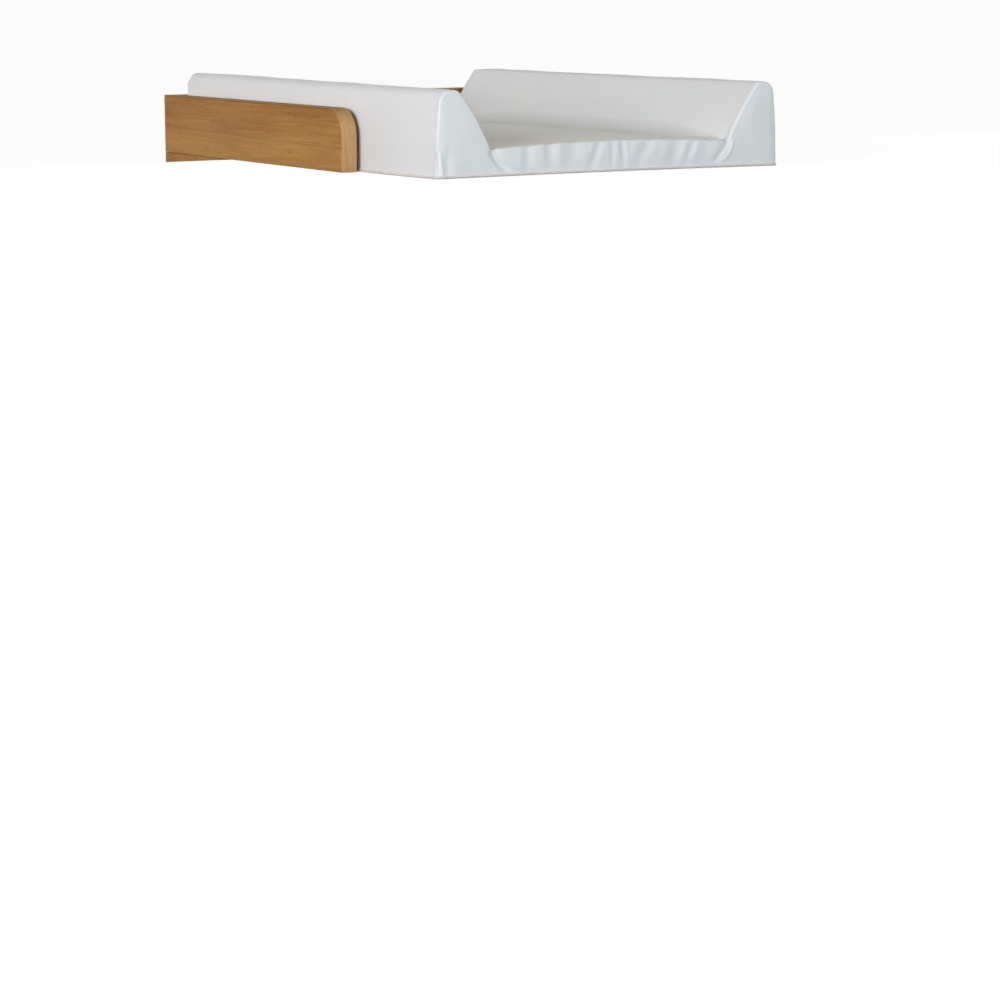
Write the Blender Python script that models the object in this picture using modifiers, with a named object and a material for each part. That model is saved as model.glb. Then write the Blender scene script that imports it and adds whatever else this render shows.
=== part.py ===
"""Changing top: a low oak frame with a wedge-sided changing mat lying in it.

Metres, +Z up. "Host" is the furniture that carries the changer. x = 0 is the middle of the changer,
y = 0 the plane of the host's back face, and z = 0 the plane of its top. The frame's front rests on
the host's top, and the rest of it reaches out behind, on a base panel held by two angle brackets.
"""

import math

import bmesh
import bpy
from mathutils import Matrix, Vector

# Clearance between pieces that touch, and how far a cutter runs past what it cuts
FIT_GAP = 0.0003
OVERRUN = 0.002

# Frame boards
FRAME_WIDTH = 0.595
SIDE_LENGTH = 0.558
BOARD_HEIGHT = 0.083
BOARD_THICKNESS = 0.022
BASE_THICKNESS = 0.022
REACH_BEHIND = 0.219
CORNER_RADIUS = 0.036
BAND_THICKNESS = 0.0012
BOARD_EDGE_ROUND = 0.0005
UNDERSIDE_RELIEF = 0.0002
BAND_EDGE_ROUND = 0.0004
CORNER_STEPS = 10

# Dowels and cam fittings at the two back corners
DOWEL_RADIUS = 0.004
DOWEL_LENGTH = 0.030
DOWEL_IN_SIDE = 0.012
DOWEL_SPACING = 0.050
DOWEL_CHAMFER = 0.001
DRILL_SPARE = 0.001
BOLT_RADIUS = 0.003
BOLT_HEAD_RADIUS = 0.0036
BOLT_NECK_RADIUS = 0.0022
BOLT_HEAD_LENGTH = 0.0025
BOLT_THREAD_RADIUS = 0.0034
BOLT_IN_SIDE = 0.011
BOLT_COLLAR_RADIUS = 0.0048
BOLT_COLLAR_LENGTH = 0.0015
CAM_RADIUS = 0.0074
CAM_SETBACK = 0.034
CAM_PAST_MIDDLE = 0.0035
CAM_RECESS_WIDTH = 0.0016
CAM_RECESS_SPAN = 0.0080
CAM_RECESS_DEPTH = 0.0020

# Countersunk screws that hold the base panel under the boards
BASE_SCREW_RADIUS = 0.0021
BASE_SCREW_HEAD_RADIUS = 0.0043
BASE_SCREW_LENGTH = 0.045
BASE_SCREW_TIP = 0.006
SIDE_SCREW_SPACING = 0.110
SIDE_SCREW_FIRST = 0.045
BACK_SCREW_FROM_END = 0.0955

# Cross recess in the head of every wood screw
DRIVE_SPAN = 0.0044
DRIVE_WIDTH = 0.0011
DRIVE_DEPTH = 0.0023
DRIVE_TIP_SHARE = 0.45

# Angle brackets that hold the frame to the host's back
BRACKET_THICKNESS = 0.0025
BRACKET_WIDTH = 0.044
BRACKET_LEG = 0.055
BRACKET_DROP = 0.060
BRACKET_BEND_RADIUS = 0.003
BRACKET_TIP_RADIUS = 0.008
BRACKET_FROM_END = 0.1075
BRACKET_HOLE_SPACING = 0.022
BRACKET_HOLE_RADIUS = 0.0024
BRACKET_HOLE_FROM_TIP = 0.018
BRACKET_SCREW_RADIUS = 0.0019
BRACKET_SCREW_LENGTH = 0.016
BRACKET_SCREW_TIP = 0.004
BRACKET_SCREW_HEAD_RADIUS = 0.0040
BRACKET_SCREW_HEAD_HEIGHT = 0.0026

# Changing mat
MAT_LENGTH = 0.714
MAT_HEIGHT = 0.113
MAT_SIDE_GAP = 0.0055
MAT_BACK_GAP = 0.010
CREST_WIDTH = 0.037
FOOT_WIDTH = 0.089
SIDE_LEAN = 0.0045
SIDE_BULGE = 0.0015
SLOPE_BULGE = 0.0020
FRONT_DRAW_IN = 0.010
BACK_SPREAD = 0.0025
BACK_SWELL = 0.022
CREST_OUTER_RADIUS = 0.017
CREST_INNER_RADIUS = 0.010
CREST_LEAST_RADIUS = 0.0008
CREASE_RADIUS = 0.010
END_ROUND_RADIUS = 0.006
MATTRESS_THICKNESS = 0.036
END_CROWN = 0.006
MIDDLE_CROWN = 0.010
COVER_THICKNESS = 0.0012
END_SEAM_SETBACK = 0.0085
WELT_RADIUS = 0.00175

# Zip in the back end of the cover
ZIP_LENGTH = 0.420
ZIP_HEIGHT = 0.0135
TAPE_WIDTH = 0.010
TAPE_THICKNESS = 0.0006
TAPE_TAIL = 0.012
COIL_PITCH = 0.006
COIL_DEPTH = 0.0016
COIL_SPINE = 0.0012
COIL_MESH = 0.0030
STOP_LENGTH = 0.0025
STOP_EDGE_ROUND = 0.0003
SLIDER_LENGTH = 0.0105
SLIDER_PLATE = 0.0012
SLIDER_FLANGE = 0.0008
SLIDER_NOSE = 0.0030
SLOT_CLEARANCE = 0.0004
ARCH_WIDTH = 0.0016
ARCH_HALF_SPAN = 0.0026
ARCH_BAR = 0.0008
ARCH_OPENING = 0.0018
PULL_THICKNESS = 0.0010
PULL_ARM = 0.0012
PULL_WINDOW = 0.0034
PULL_CLEARANCE = 0.0006
PULL_TIP_RADIUS = 0.0015

# Shape powers, counts and shares
DRAW_IN_POWER = 3
CROWN_POWER = 2
MAT_MIDDLE_STATIONS = 6
END_ROUND_STEPS = 3
CREST_OUTER_STEPS = 4
CREST_INNER_STEPS = 3
CREASE_STEPS = 3
MATTRESS_STEPS = 5
ROUND_STEPS = 16
SMALL_ROUND_STEPS = 12
BEND_STEPS = 6
TIP_STEPS = 4
LEFT_AND_RIGHT = (-1, 1)

# Places that follow from the sizes above
side_front = REACH_BEHIND - SIDE_LENGTH
side_middle_x = (FRAME_WIDTH - BOARD_THICKNESS) / 2
frame_inner_half = FRAME_WIDTH / 2 - BOARD_THICKNESS
band_inset = BAND_THICKNESS + FIT_GAP
back_board_middle_y = REACH_BEHIND - BOARD_THICKNESS / 2
base_top = -FIT_GAP
base_bottom = base_top - BASE_THICKNESS

mat_half_width = frame_inner_half - MAT_SIDE_GAP
mat_back = REACH_BEHIND - BOARD_THICKNESS - MAT_BACK_GAP
mat_front = mat_back - MAT_LENGTH
mat_middle = (mat_front + mat_back) / 2
crease_x = mat_half_width - FOOT_WIDTH
crest_inner_x = mat_half_width - SIDE_LEAN - CREST_WIDTH
foam_skin = COVER_THICKNESS + FIT_GAP
welt_skin = COVER_THICKNESS - WELT_RADIUS
side_seam_height = 2 * WELT_RADIUS + FIT_GAP

tape_outer_y = mat_back - COVER_THICKNESS - FIT_GAP
foam_back_skin = mat_back - (tape_outer_y - TAPE_THICKNESS - FIT_GAP)
coil_inner_y = tape_outer_y + FIT_GAP
coil_outer_y = coil_inner_y + COIL_DEPTH
coil_half_height = COIL_MESH / 2 + COIL_SPINE
slider_plate_y = coil_outer_y + FIT_GAP
slider_half_height = coil_half_height + FIT_GAP + SLIDER_FLANGE
pull_axis_y = slider_plate_y + SLIDER_PLATE + ARCH_OPENING / 2
pull_reach = REACH_BEHIND - BOARD_THICKNESS - PULL_CLEARANCE - pull_axis_y
slider_rest_x = (ZIP_LENGTH - SLIDER_LENGTH) / 2


# Scene, collections and materials

def clear_scene():
    for obj in list(bpy.data.objects):
        bpy.data.objects.remove(obj, do_unlink=True)


def new_collection(name):
    collection = bpy.data.collections.new(name)
    bpy.context.scene.collection.children.link(collection)
    return collection


def material(name, color, roughness, metallic=0.0):
    made = bpy.data.materials.new(name)
    made.use_nodes = True
    shader = made.node_tree.nodes["Principled BSDF"]
    shader.inputs["Base Color"].default_value = (*color, 1.0)
    shader.inputs["Roughness"].default_value = roughness
    shader.inputs["Metallic"].default_value = metallic
    made.diffuse_color = (*color, 1.0)
    return made


def place(name, mesh, finish):
    """A piece of the object, with its own material."""
    mesh.materials.clear()
    mesh.materials.append(finish)
    obj = bpy.data.objects.new(name, mesh)
    parts.objects.link(obj)
    return obj


def cutter(name, mesh):
    """A guide shape that only cuts."""
    obj = bpy.data.objects.new(name, mesh)
    cutters.objects.link(obj)
    obj.hide_render = True
    obj.display_type = "WIRE"
    return obj


def boolean(obj, other, operation):
    step = obj.modifiers.new(operation.lower(), "BOOLEAN")
    step.operation = operation
    step.solver = "EXACT"
    step.object = other


def bevel(obj, width, segments=1):
    step = obj.modifiers.new("bevel", "BEVEL")
    step.width = width
    step.segments = segments
    step.limit_method = "ANGLE"


# Meshes

def mesh_from(name, build):
    """A mesh filled by build(bm), with its faces turned outward."""
    bm = bmesh.new()
    build(bm)
    bmesh.ops.recalc_face_normals(bm, faces=bm.faces)
    mesh = bpy.data.meshes.new(name)
    bm.to_mesh(mesh)
    bm.free()
    return mesh


def add_box(bm, low, high):
    size = Vector(high) - Vector(low)
    middle = (Vector(high) + Vector(low)) / 2
    matrix = Matrix.Translation(middle) @ Matrix.Diagonal((*size, 1.0))
    bmesh.ops.create_cube(bm, size=1.0, matrix=matrix)


def box_mesh(name, low, high):
    return mesh_from(name, lambda bm: add_box(bm, low, high))


def box_cutter(name, low, high):
    return cutter(name, box_mesh(name, low, high))


def add_rod(bm, start, end, radius, steps=ROUND_STEPS):
    """A plain cylinder between two points, for a hole or a pin."""
    start, end = Vector(start), Vector(end)
    turn = (end - start).to_track_quat("Z", "Y").to_matrix().to_4x4()
    bmesh.ops.create_cone(
        bm,
        cap_ends=True,
        segments=steps,
        radius1=radius,
        radius2=radius,
        depth=(end - start).length,
        matrix=Matrix.Translation((start + end) / 2) @ turn,
    )


def evaluated_mesh(obj):
    """The mesh that a guide object makes, in world space; the guide itself is removed."""
    bpy.context.view_layer.update()
    graph = bpy.context.evaluated_depsgraph_get()
    mesh = bpy.data.meshes.new_from_object(obj.evaluated_get(graph))
    mesh.transform(obj.matrix_world)
    data = obj.data
    bpy.data.objects.remove(obj, do_unlink=True)
    if isinstance(data, bpy.types.Curve):
        bpy.data.curves.remove(data)
    bm = bmesh.new()
    bm.from_mesh(mesh)
    bmesh.ops.remove_doubles(bm, verts=bm.verts, dist=FIT_GAP / 10)
    bmesh.ops.recalc_face_normals(bm, faces=bm.faces)
    bm.to_mesh(mesh)
    bm.free()
    return mesh


def curve_object(name, points, closed):
    curve = bpy.data.curves.new(name, "CURVE")
    curve.dimensions = "3D"
    spline = curve.splines.new("POLY")
    spline.points.add(len(points) - 1)
    for spot, point in zip(spline.points, points):
        spot.co = (*point, 1.0)
    spline.use_cyclic_u = closed
    obj = bpy.data.objects.new(name, curve)
    cutters.objects.link(obj)
    return obj


def outline_mesh(name, outline, thickness, matrix):
    """A flat outline, thickened evenly to both sides of its own plane."""
    obj = curve_object(name, [(x, y, 0.0) for x, y in outline], True)
    obj.data.dimensions = "2D"
    obj.data.fill_mode = "BOTH"
    obj.data.extrude = thickness / 2
    obj.matrix_world = matrix
    return evaluated_mesh(obj)


def tube_mesh(name, path, radius, resolution):
    """A round cord along a closed path."""
    obj = curve_object(name, path, True)
    obj.data.bevel_depth = radius
    obj.data.bevel_resolution = resolution
    return evaluated_mesh(obj)


def turned_mesh(name, profile, steps):
    """A profile of (radius, height) points, top to bottom, turned about Z."""
    mesh = bpy.data.meshes.new(name)
    edges = [(i, i + 1) for i in range(len(profile) - 1)]
    mesh.from_pydata([(r, 0.0, z) for r, z in profile], edges, [])
    obj = bpy.data.objects.new(name, mesh)
    cutters.objects.link(obj)
    turn = obj.modifiers.new("turn", "SCREW")
    turn.steps = steps
    turn.render_steps = steps
    turn.use_merge_vertices = True
    turn.merge_threshold = FIT_GAP / 10
    return evaluated_mesh(obj)


def copies_mesh(name, mesh, matrices):
    """One mesh that holds a separate copy of a solid at each matrix."""
    def build(bm):
        for matrix in matrices:
            one = mesh.copy()
            one.transform(matrix)
            bm.from_mesh(one)
            bpy.data.meshes.remove(one)
    made = mesh_from(name, build)
    bpy.data.meshes.remove(mesh)
    return made


def smooth(obj, degrees=35):
    obj.data.shade_smooth()
    obj.data.set_sharp_from_angle(angle=math.radians(degrees))


def place_copies(names, mesh, matrices, finish):
    """Repeated pieces: one object each, all sharing a mesh."""
    for name, matrix in zip(names, matrices):
        obj = place(name, mesh, finish)
        obj.matrix_world = matrix
        smooth(obj)


def numbered(name, places):
    return [f"{name}_{number}" for number in range(1, len(places) + 1)]


# Directions

def upright_side(x):
    """Plane of a side board: outline x runs along +Y and outline y up, at the given x."""
    return Matrix(((0, 0, 1, x), (1, 0, 0, 0), (0, 1, 0, 0), (0, 0, 0, 1)))


def upright_back(y):
    """Plane of the back end: outline x runs along +X and outline y up, at the given y."""
    return Matrix(((1, 0, 0, 0), (0, 0, -1, y), (0, 1, 0, 0), (0, 0, 0, 1)))


def along_x(x, y, z, side):
    """Turns a piece that is built along +Z so that it points along side times +X."""
    return Matrix.Translation((x, y, z)) @ Matrix.Rotation(side * math.pi / 2, 4, "Y")


# Flat outlines

def arc(center, radius, start, end, steps):
    """Points on an arc, both ends included; angles in degrees."""
    turns = [math.radians(start + (end - start) * i / steps) for i in range(steps + 1)]
    return [(center[0] + radius * math.cos(a), center[1] + radius * math.sin(a)) for a in turns]


def rounded_front(inset):
    """Front end, rounded corner and top edge of a side board, front to back, set in by inset."""
    radius = CORNER_RADIUS - inset
    center = (side_front + CORNER_RADIUS, BOARD_HEIGHT - CORNER_RADIUS)
    return arc(center, radius, 180, 90, CORNER_STEPS)


def fillet(before, corner, after, radius, steps):
    """Arc that rounds the corner between two straight stretches."""
    before, corner, after = Vector(before), Vector(corner), Vector(after)
    to_before = (before - corner).normalized()
    to_after = (after - corner).normalized()
    half = to_before.angle(to_after) / 2
    center = corner + (to_before + to_after).normalized() * (radius / math.sin(half))
    tangent = radius / math.tan(half)
    first = corner + to_before * tangent - center
    last = corner + to_after * tangent - center
    swing = first.angle_signed(last)
    return [tuple(center + Matrix.Rotation(-swing * i / steps, 2) @ first) for i in range(steps + 1)]


# Frame

def dowel_heights():
    middle = BOARD_HEIGHT / 2
    return [middle + side * DOWEL_SPACING / 2 for side in LEFT_AND_RIGHT]


def corner_drillings(name):
    """Dowel and cam bolt holes of both back corners, through the joint between the boards."""
    def build(bm):
        for side in LEFT_AND_RIGHT:
            joint = side * frame_inner_half
            inward = -side
            for z in dowel_heights():
                outer = joint - inward * (DOWEL_IN_SIDE + DRILL_SPARE)
                inner = joint + inward * (DOWEL_LENGTH - DOWEL_IN_SIDE + DRILL_SPARE)
                add_rod(bm, (outer, back_board_middle_y, z), (inner, back_board_middle_y, z),
                        DOWEL_RADIUS + FIT_GAP)
            z = BOARD_HEIGHT / 2
            outer = joint - inward * (BOLT_IN_SIDE + DRILL_SPARE)
            inner = joint + inward * CAM_SETBACK
            add_rod(bm, (outer, back_board_middle_y, z), (inner, back_board_middle_y, z),
                    BOLT_COLLAR_RADIUS + FIT_GAP)
    return cutter(name, mesh_from(name, build))


def cam_pockets():
    """Round pockets for the cams, open at the back board's rear face."""
    def build(bm):
        for side in LEFT_AND_RIGHT:
            x = side * (frame_inner_half - CAM_SETBACK)
            deep = back_board_middle_y - CAM_PAST_MIDDLE - 2 * FIT_GAP - BOLT_HEAD_RADIUS
            add_rod(bm, (x, deep, BOARD_HEIGHT / 2), (x, REACH_BEHIND + OVERRUN, BOARD_HEIGHT / 2),
                    CAM_RADIUS + FIT_GAP)
    return cutter("cut_cam_pockets", mesh_from("cut_cam_pockets", build))


def drive_cutter(face):
    """Two crossed slots that narrow as they go up into a screw head whose flat is at height face."""
    mouth, tip = face - FIT_GAP, face + DRIVE_DEPTH
    place_up = Matrix.Translation((0.0, 0.0, (mouth + tip) / 2))
    to_square = Matrix.Rotation(math.radians(45), 4, "Z")

    def build(bm):
        for wide, deep in ((DRIVE_SPAN, DRIVE_WIDTH), (DRIVE_WIDTH, DRIVE_SPAN)):
            bmesh.ops.create_cone(
                bm,
                cap_ends=True,
                segments=4,
                radius1=math.sqrt(0.5),
                radius2=math.sqrt(0.5) * DRIVE_TIP_SHARE,
                depth=tip - mouth,
                matrix=place_up @ Matrix.Diagonal((wide, deep, 1.0, 1.0)) @ to_square,
            )
    return cutter("cut_drive", mesh_from("cut_drive", build))


def with_drive(mesh, face):
    """The turned screw with its cross recess."""
    obj = bpy.data.objects.new("driven", mesh)
    cutters.objects.link(obj)
    tool = drive_cutter(face)
    boolean(obj, tool, "DIFFERENCE")
    obj.modifiers["difference"].use_self = True
    made = evaluated_mesh(obj)
    bpy.data.objects.remove(tool, do_unlink=True)
    return made


def base_screw_places():
    """Where the screws under the base panel stand."""
    places = []
    for side in LEFT_AND_RIGHT:
        for count in range(2):
            y = SIDE_SCREW_FIRST + count * SIDE_SCREW_SPACING
            places.append((side * side_middle_x, y))
    for count in (-1, 0, 1):
        places.append((count * (frame_inner_half - BACK_SCREW_FROM_END), back_board_middle_y))
    return places


def base_screw_profile(extra, below):
    """Countersunk wood screw, head down; its hole is fatter by extra and runs on below the head."""
    top = BASE_SCREW_LENGTH + extra
    shank, head = BASE_SCREW_RADIUS + extra, BASE_SCREW_HEAD_RADIUS + extra
    profile = [(0.0, top), (shank, top - BASE_SCREW_TIP), (shank, head - shank), (head, 0.0)]
    if below:
        profile.append((head, -below))
    return [*profile, (0.0, -below)]


def base_screw_matrices():
    """The heads stop just short of the underside, so that nothing stands out of it."""
    return [Matrix.Translation((x, y, base_bottom + FIT_GAP)) for x, y in base_screw_places()]


def build_base_screws():
    mesh = turned_mesh("base_screw", base_screw_profile(0.0, 0.0), SMALL_ROUND_STEPS)
    mesh = with_drive(mesh, 0.0)
    places = base_screw_matrices()
    place_copies(numbered("base_screw", places), mesh, places, steel)


def base_drillings():
    """Holes for the base screws, with their countersinks, open at the underside."""
    mesh = turned_mesh("hole", base_screw_profile(FIT_GAP, OVERRUN), SMALL_ROUND_STEPS)
    return cutter("cut_base_screws", copies_mesh("cut_base_screws", mesh, base_screw_matrices()))


def underside_relief():
    """Lifts the side boards' undersides a hair over the base panel, so they bear on the host alone."""
    wide = FRAME_WIDTH / 2 + OVERRUN
    low = (-wide, -FIT_GAP, -OVERRUN)
    return box_cutter("cut_underside", low, (wide, REACH_BEHIND + OVERRUN, UNDERSIDE_RELIEF))


def build_side_boards():
    relief = underside_relief()
    for name, side in (("left", -1), ("right", 1)):
        plane = upright_side(side * side_middle_x)
        core = rounded_front(band_inset)
        core = [(side_front + band_inset, 0.0), *core, (REACH_BEHIND, BOARD_HEIGHT - band_inset),
                (REACH_BEHIND, 0.0)]
        board = place(f"side_board_{name}", outline_mesh("core", core, BOARD_THICKNESS, plane), oak)
        bevel(board, BOARD_EDGE_ROUND)
        boolean(board, corner_holes, "DIFFERENCE")
        boolean(board, screw_holes, "DIFFERENCE")
        boolean(board, relief, "DIFFERENCE")

        outer = [(side_front, 0.0), *rounded_front(0.0), (REACH_BEHIND, BOARD_HEIGHT)]
        inner = [(side_front + BAND_THICKNESS, 0.0), *rounded_front(BAND_THICKNESS),
                 (REACH_BEHIND, BOARD_HEIGHT - BAND_THICKNESS)]
        strip = outline_mesh("strip", outer + inner[::-1], BOARD_THICKNESS, plane)
        bevel(place(f"edge_band_{name}", strip, oak_edge), BAND_EDGE_ROUND)


def build_back_board():
    half = frame_inner_half - FIT_GAP
    front = REACH_BEHIND - BOARD_THICKNESS
    top = BOARD_HEIGHT - BAND_THICKNESS
    mesh = box_mesh("back_board", (-half, front, 0.0), (half, REACH_BEHIND, top - FIT_GAP))
    board = place("back_board", mesh, oak)
    bevel(board, BOARD_EDGE_ROUND)
    boolean(board, corner_holes, "DIFFERENCE")
    boolean(board, cam_pockets(), "DIFFERENCE")
    boolean(board, screw_holes, "DIFFERENCE")
    strip = box_mesh("edge_band_back", (-half, front, top), (half, REACH_BEHIND, BOARD_HEIGHT))
    bevel(place("edge_band_back", strip, oak_edge), BAND_EDGE_ROUND)


def build_base_panel():
    half = FRAME_WIDTH / 2
    mesh = box_mesh("base_panel", (-half, 0.0, base_bottom), (half, REACH_BEHIND, base_top))
    panel = place("base_panel", mesh, oak)
    bevel(panel, BOARD_EDGE_ROUND)
    boolean(panel, screw_holes, "DIFFERENCE")
    boolean(panel, bracket_drillings(), "DIFFERENCE")


def build_dowels():
    profile = [
        (0.0, DOWEL_LENGTH),
        (DOWEL_RADIUS - DOWEL_CHAMFER, DOWEL_LENGTH),
        (DOWEL_RADIUS, DOWEL_LENGTH - DOWEL_CHAMFER),
        (DOWEL_RADIUS, DOWEL_CHAMFER),
        (DOWEL_RADIUS - DOWEL_CHAMFER, 0.0),
        (0.0, 0.0),
    ]
    mesh = turned_mesh("corner_dowel", profile, SMALL_ROUND_STEPS)
    places = []
    for side in LEFT_AND_RIGHT:
        start = side * (frame_inner_half + DOWEL_IN_SIDE)
        places += [along_x(start, back_board_middle_y, z, -side) for z in dowel_heights()]
    place_copies(numbered("corner_dowel", places), mesh, places, beech)


def build_cam_bolts():
    """Each bolt screws into a side board, and its head ends inside the cam."""
    reach = BOLT_IN_SIDE + CAM_SETBACK + BOLT_HEAD_LENGTH / 2
    neck_end = reach - BOLT_HEAD_LENGTH
    neck_start = BOLT_IN_SIDE + CAM_SETBACK - CAM_RADIUS - 2 * FIT_GAP
    collar_end = BOLT_IN_SIDE + BOLT_COLLAR_LENGTH
    profile = [
        (0.0, reach),
        (BOLT_HEAD_RADIUS, reach),
        (BOLT_HEAD_RADIUS, neck_end),
        (BOLT_NECK_RADIUS, neck_end),
        (BOLT_NECK_RADIUS, neck_start),
        (BOLT_RADIUS, neck_start),
        (BOLT_RADIUS, collar_end),
        (BOLT_COLLAR_RADIUS, collar_end),
        (BOLT_COLLAR_RADIUS, BOLT_IN_SIDE),
        (BOLT_THREAD_RADIUS, BOLT_IN_SIDE),
        (BOLT_THREAD_RADIUS, BOLT_IN_SIDE / 4),
        (0.0, 0.0),
    ]
    mesh = turned_mesh("cam_bolt", profile, SMALL_ROUND_STEPS)
    z = BOARD_HEIGHT / 2
    places = [
        along_x(side * (frame_inner_half + BOLT_IN_SIDE), back_board_middle_y, z, -side)
        for side in LEFT_AND_RIGHT
    ]
    place_copies(("cam_bolt_left", "cam_bolt_right"), mesh, places, steel)


def build_cam_discs():
    """Each cam turns in its pocket and grips the bolt head in a slot that opens to the bolt's side."""
    y, z = back_board_middle_y, BOARD_HEIGHT / 2
    deep = y - CAM_PAST_MIDDLE - FIT_GAP - BOLT_HEAD_RADIUS
    outer = REACH_BEHIND - FIT_GAP
    room = BOLT_HEAD_LENGTH / 2 + 2 * FIT_GAP
    head, neck = BOLT_HEAD_RADIUS + FIT_GAP, BOLT_NECK_RADIUS + FIT_GAP
    half, arm = CAM_RECESS_WIDTH / 2, CAM_RECESS_SPAN / 2
    floor, top = outer - CAM_RECESS_DEPTH, outer + OVERRUN
    for name, side in (("left", -1), ("right", 1)):
        x = side * (frame_inner_half - CAM_SETBACK)
        disc = mesh_from("disc", lambda bm: add_rod(bm, (x, deep, z), (x, outer, z), CAM_RADIUS))
        cam = place(f"cam_disc_{name}", disc, zinc)
        low_x, high_x = sorted((x + side * (room - FIT_GAP), x + side * (CAM_RADIUS + OVERRUN)))
        cuts = {
            "head": ((x - room, y - head, z - head), (x + room, y + head, z + head)),
            "neck": ((low_x, y - neck, z - neck), (high_x, y + neck, z + neck)),
            "recess": ((x - arm, floor, z - half), (x + arm, top, z + half)),
            "cross": ((x - half, floor, z - arm), (x + half, top, z + arm)),
        }
        for what, (low, high) in cuts.items():
            boolean(cam, box_cutter(f"cut_cam_{what}_{name}", low, high), "DIFFERENCE")


# Brackets

def bracket_places():
    return [side * (FRAME_WIDTH / 2 - BRACKET_FROM_END) for side in LEFT_AND_RIGHT]


def bracket_top():
    return base_bottom - FIT_GAP


def bracket_mesh(name, x):
    """A bent steel strip: one leg under the base panel, the other down the host's back."""
    top = bracket_top()
    t, r = BRACKET_THICKNESS, BRACKET_BEND_RADIUS
    bend = (t + r, top - t - r)
    outline = [
        *arc(bend, r + t, 180, 90, BEND_STEPS),
        (BRACKET_LEG, top),
        (BRACKET_LEG, top - t),
        *arc(bend, r, 90, 180, BEND_STEPS),
        (t, top - BRACKET_DROP),
        (0.0, top - BRACKET_DROP),
    ]
    mesh = outline_mesh(name, outline, BRACKET_WIDTH, upright_side(x))
    bm = bmesh.new()
    bm.from_mesh(mesh)
    near = FIT_GAP / 2
    tips = []
    for edge in bm.edges:
        one, two = (v.co for v in edge.verts)
        across = abs(one.x - two.x) > near
        at_leg = abs(one.y - BRACKET_LEG) < near and abs(two.y - BRACKET_LEG) < near
        at_drop = abs(one.z - top + BRACKET_DROP) < near and abs(two.z - top + BRACKET_DROP) < near
        if not across and (at_leg or at_drop):
            tips.append(edge)
    bmesh.ops.bevel(bm, geom=tips, offset=BRACKET_TIP_RADIUS, segments=TIP_STEPS, profile=0.5,
                    affect="EDGES")
    bm.to_mesh(mesh)
    bm.free()
    return mesh


def bracket_hole_offsets():
    return [side * BRACKET_HOLE_SPACING / 2 for side in LEFT_AND_RIGHT]


def bracket_holes():
    """Two holes through each leg of each bracket."""
    def build(bm):
        top = bracket_top()
        y = BRACKET_LEG - BRACKET_HOLE_FROM_TIP
        z = top - BRACKET_DROP + BRACKET_HOLE_FROM_TIP
        for middle in bracket_places():
            for offset in bracket_hole_offsets():
                x = middle + offset
                under = top - BRACKET_THICKNESS - OVERRUN
                add_rod(bm, (x, y, under), (x, y, top + OVERRUN), BRACKET_HOLE_RADIUS)
                add_rod(bm, (x, -OVERRUN, z), (x, BRACKET_THICKNESS + OVERRUN, z), BRACKET_HOLE_RADIUS)
    return cutter("cut_bracket_holes", mesh_from("cut_bracket_holes", build))


def build_brackets():
    holes = bracket_holes()
    for name, x in zip(("bracket_left", "bracket_right"), bracket_places()):
        boolean(place(name, bracket_mesh(name, x), steel_plate), holes, "DIFFERENCE")


def bracket_screw_profile(extra):
    """Pan-head wood screw, head down, made fatter by extra for its hole."""
    head, height = BRACKET_SCREW_HEAD_RADIUS + extra, BRACKET_SCREW_HEAD_HEIGHT
    shank = BRACKET_SCREW_RADIUS + extra
    top = BRACKET_SCREW_LENGTH + extra
    return [
        (0.0, top),
        (shank, top - BRACKET_SCREW_TIP),
        (shank, 0.0),
        (head, 0.0),
        (head, -height / 3),
        (head * 3 / 4, -height * 4 / 5),
        (0.0, -height),
    ]


def bracket_screw_matrices():
    """The heads bear on the leg under the base panel."""
    under = bracket_top() - BRACKET_THICKNESS - FIT_GAP
    y = BRACKET_LEG - BRACKET_HOLE_FROM_TIP
    return [
        Matrix.Translation((middle + offset, y, under))
        for middle in bracket_places()
        for offset in bracket_hole_offsets()
    ]


def build_bracket_screws():
    mesh = turned_mesh("bracket_screw", bracket_screw_profile(0.0), SMALL_ROUND_STEPS)
    mesh = with_drive(mesh, -BRACKET_SCREW_HEAD_HEIGHT)
    places = bracket_screw_matrices()
    place_copies(numbered("bracket_screw", places), mesh, places, steel)


def bracket_drillings():
    """Pilot holes for the bracket screws in the base panel."""
    mesh = turned_mesh("cut_bracket_screws", bracket_screw_profile(FIT_GAP), SMALL_ROUND_STEPS)
    made = copies_mesh("cut_bracket_screws", mesh, bracket_screw_matrices())
    return cutter("cut_bracket_screws", made)


# Changing mat

def away_from_middle(y):
    """0 at the mat's middle and 1 at either end."""
    return min(1.0, abs(2 * (y - mat_front) / MAT_LENGTH - 1))


def front_share(y):
    return away_from_middle(y) ** DRAW_IN_POWER if y < mat_middle else 0.0


def back_share(y):
    return away_from_middle(y) ** DRAW_IN_POWER if y > mat_middle else 0.0


def half_width_at(y):
    """The sides draw in toward the front and spread between the boards at the back."""
    return mat_half_width - FRONT_DRAW_IN * front_share(y) + BACK_SPREAD * back_share(y)


def crest_outer_at(y):
    return half_width_at(y) - SIDE_LEAN * (1 - back_share(y))


def crest_inner_at(y):
    """The wedges thicken toward the back, so their inner edges close in there."""
    return crest_inner_x - BACK_SWELL * back_share(y)


def crease_at(y):
    return crease_x - BACK_SWELL * back_share(y)


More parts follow.
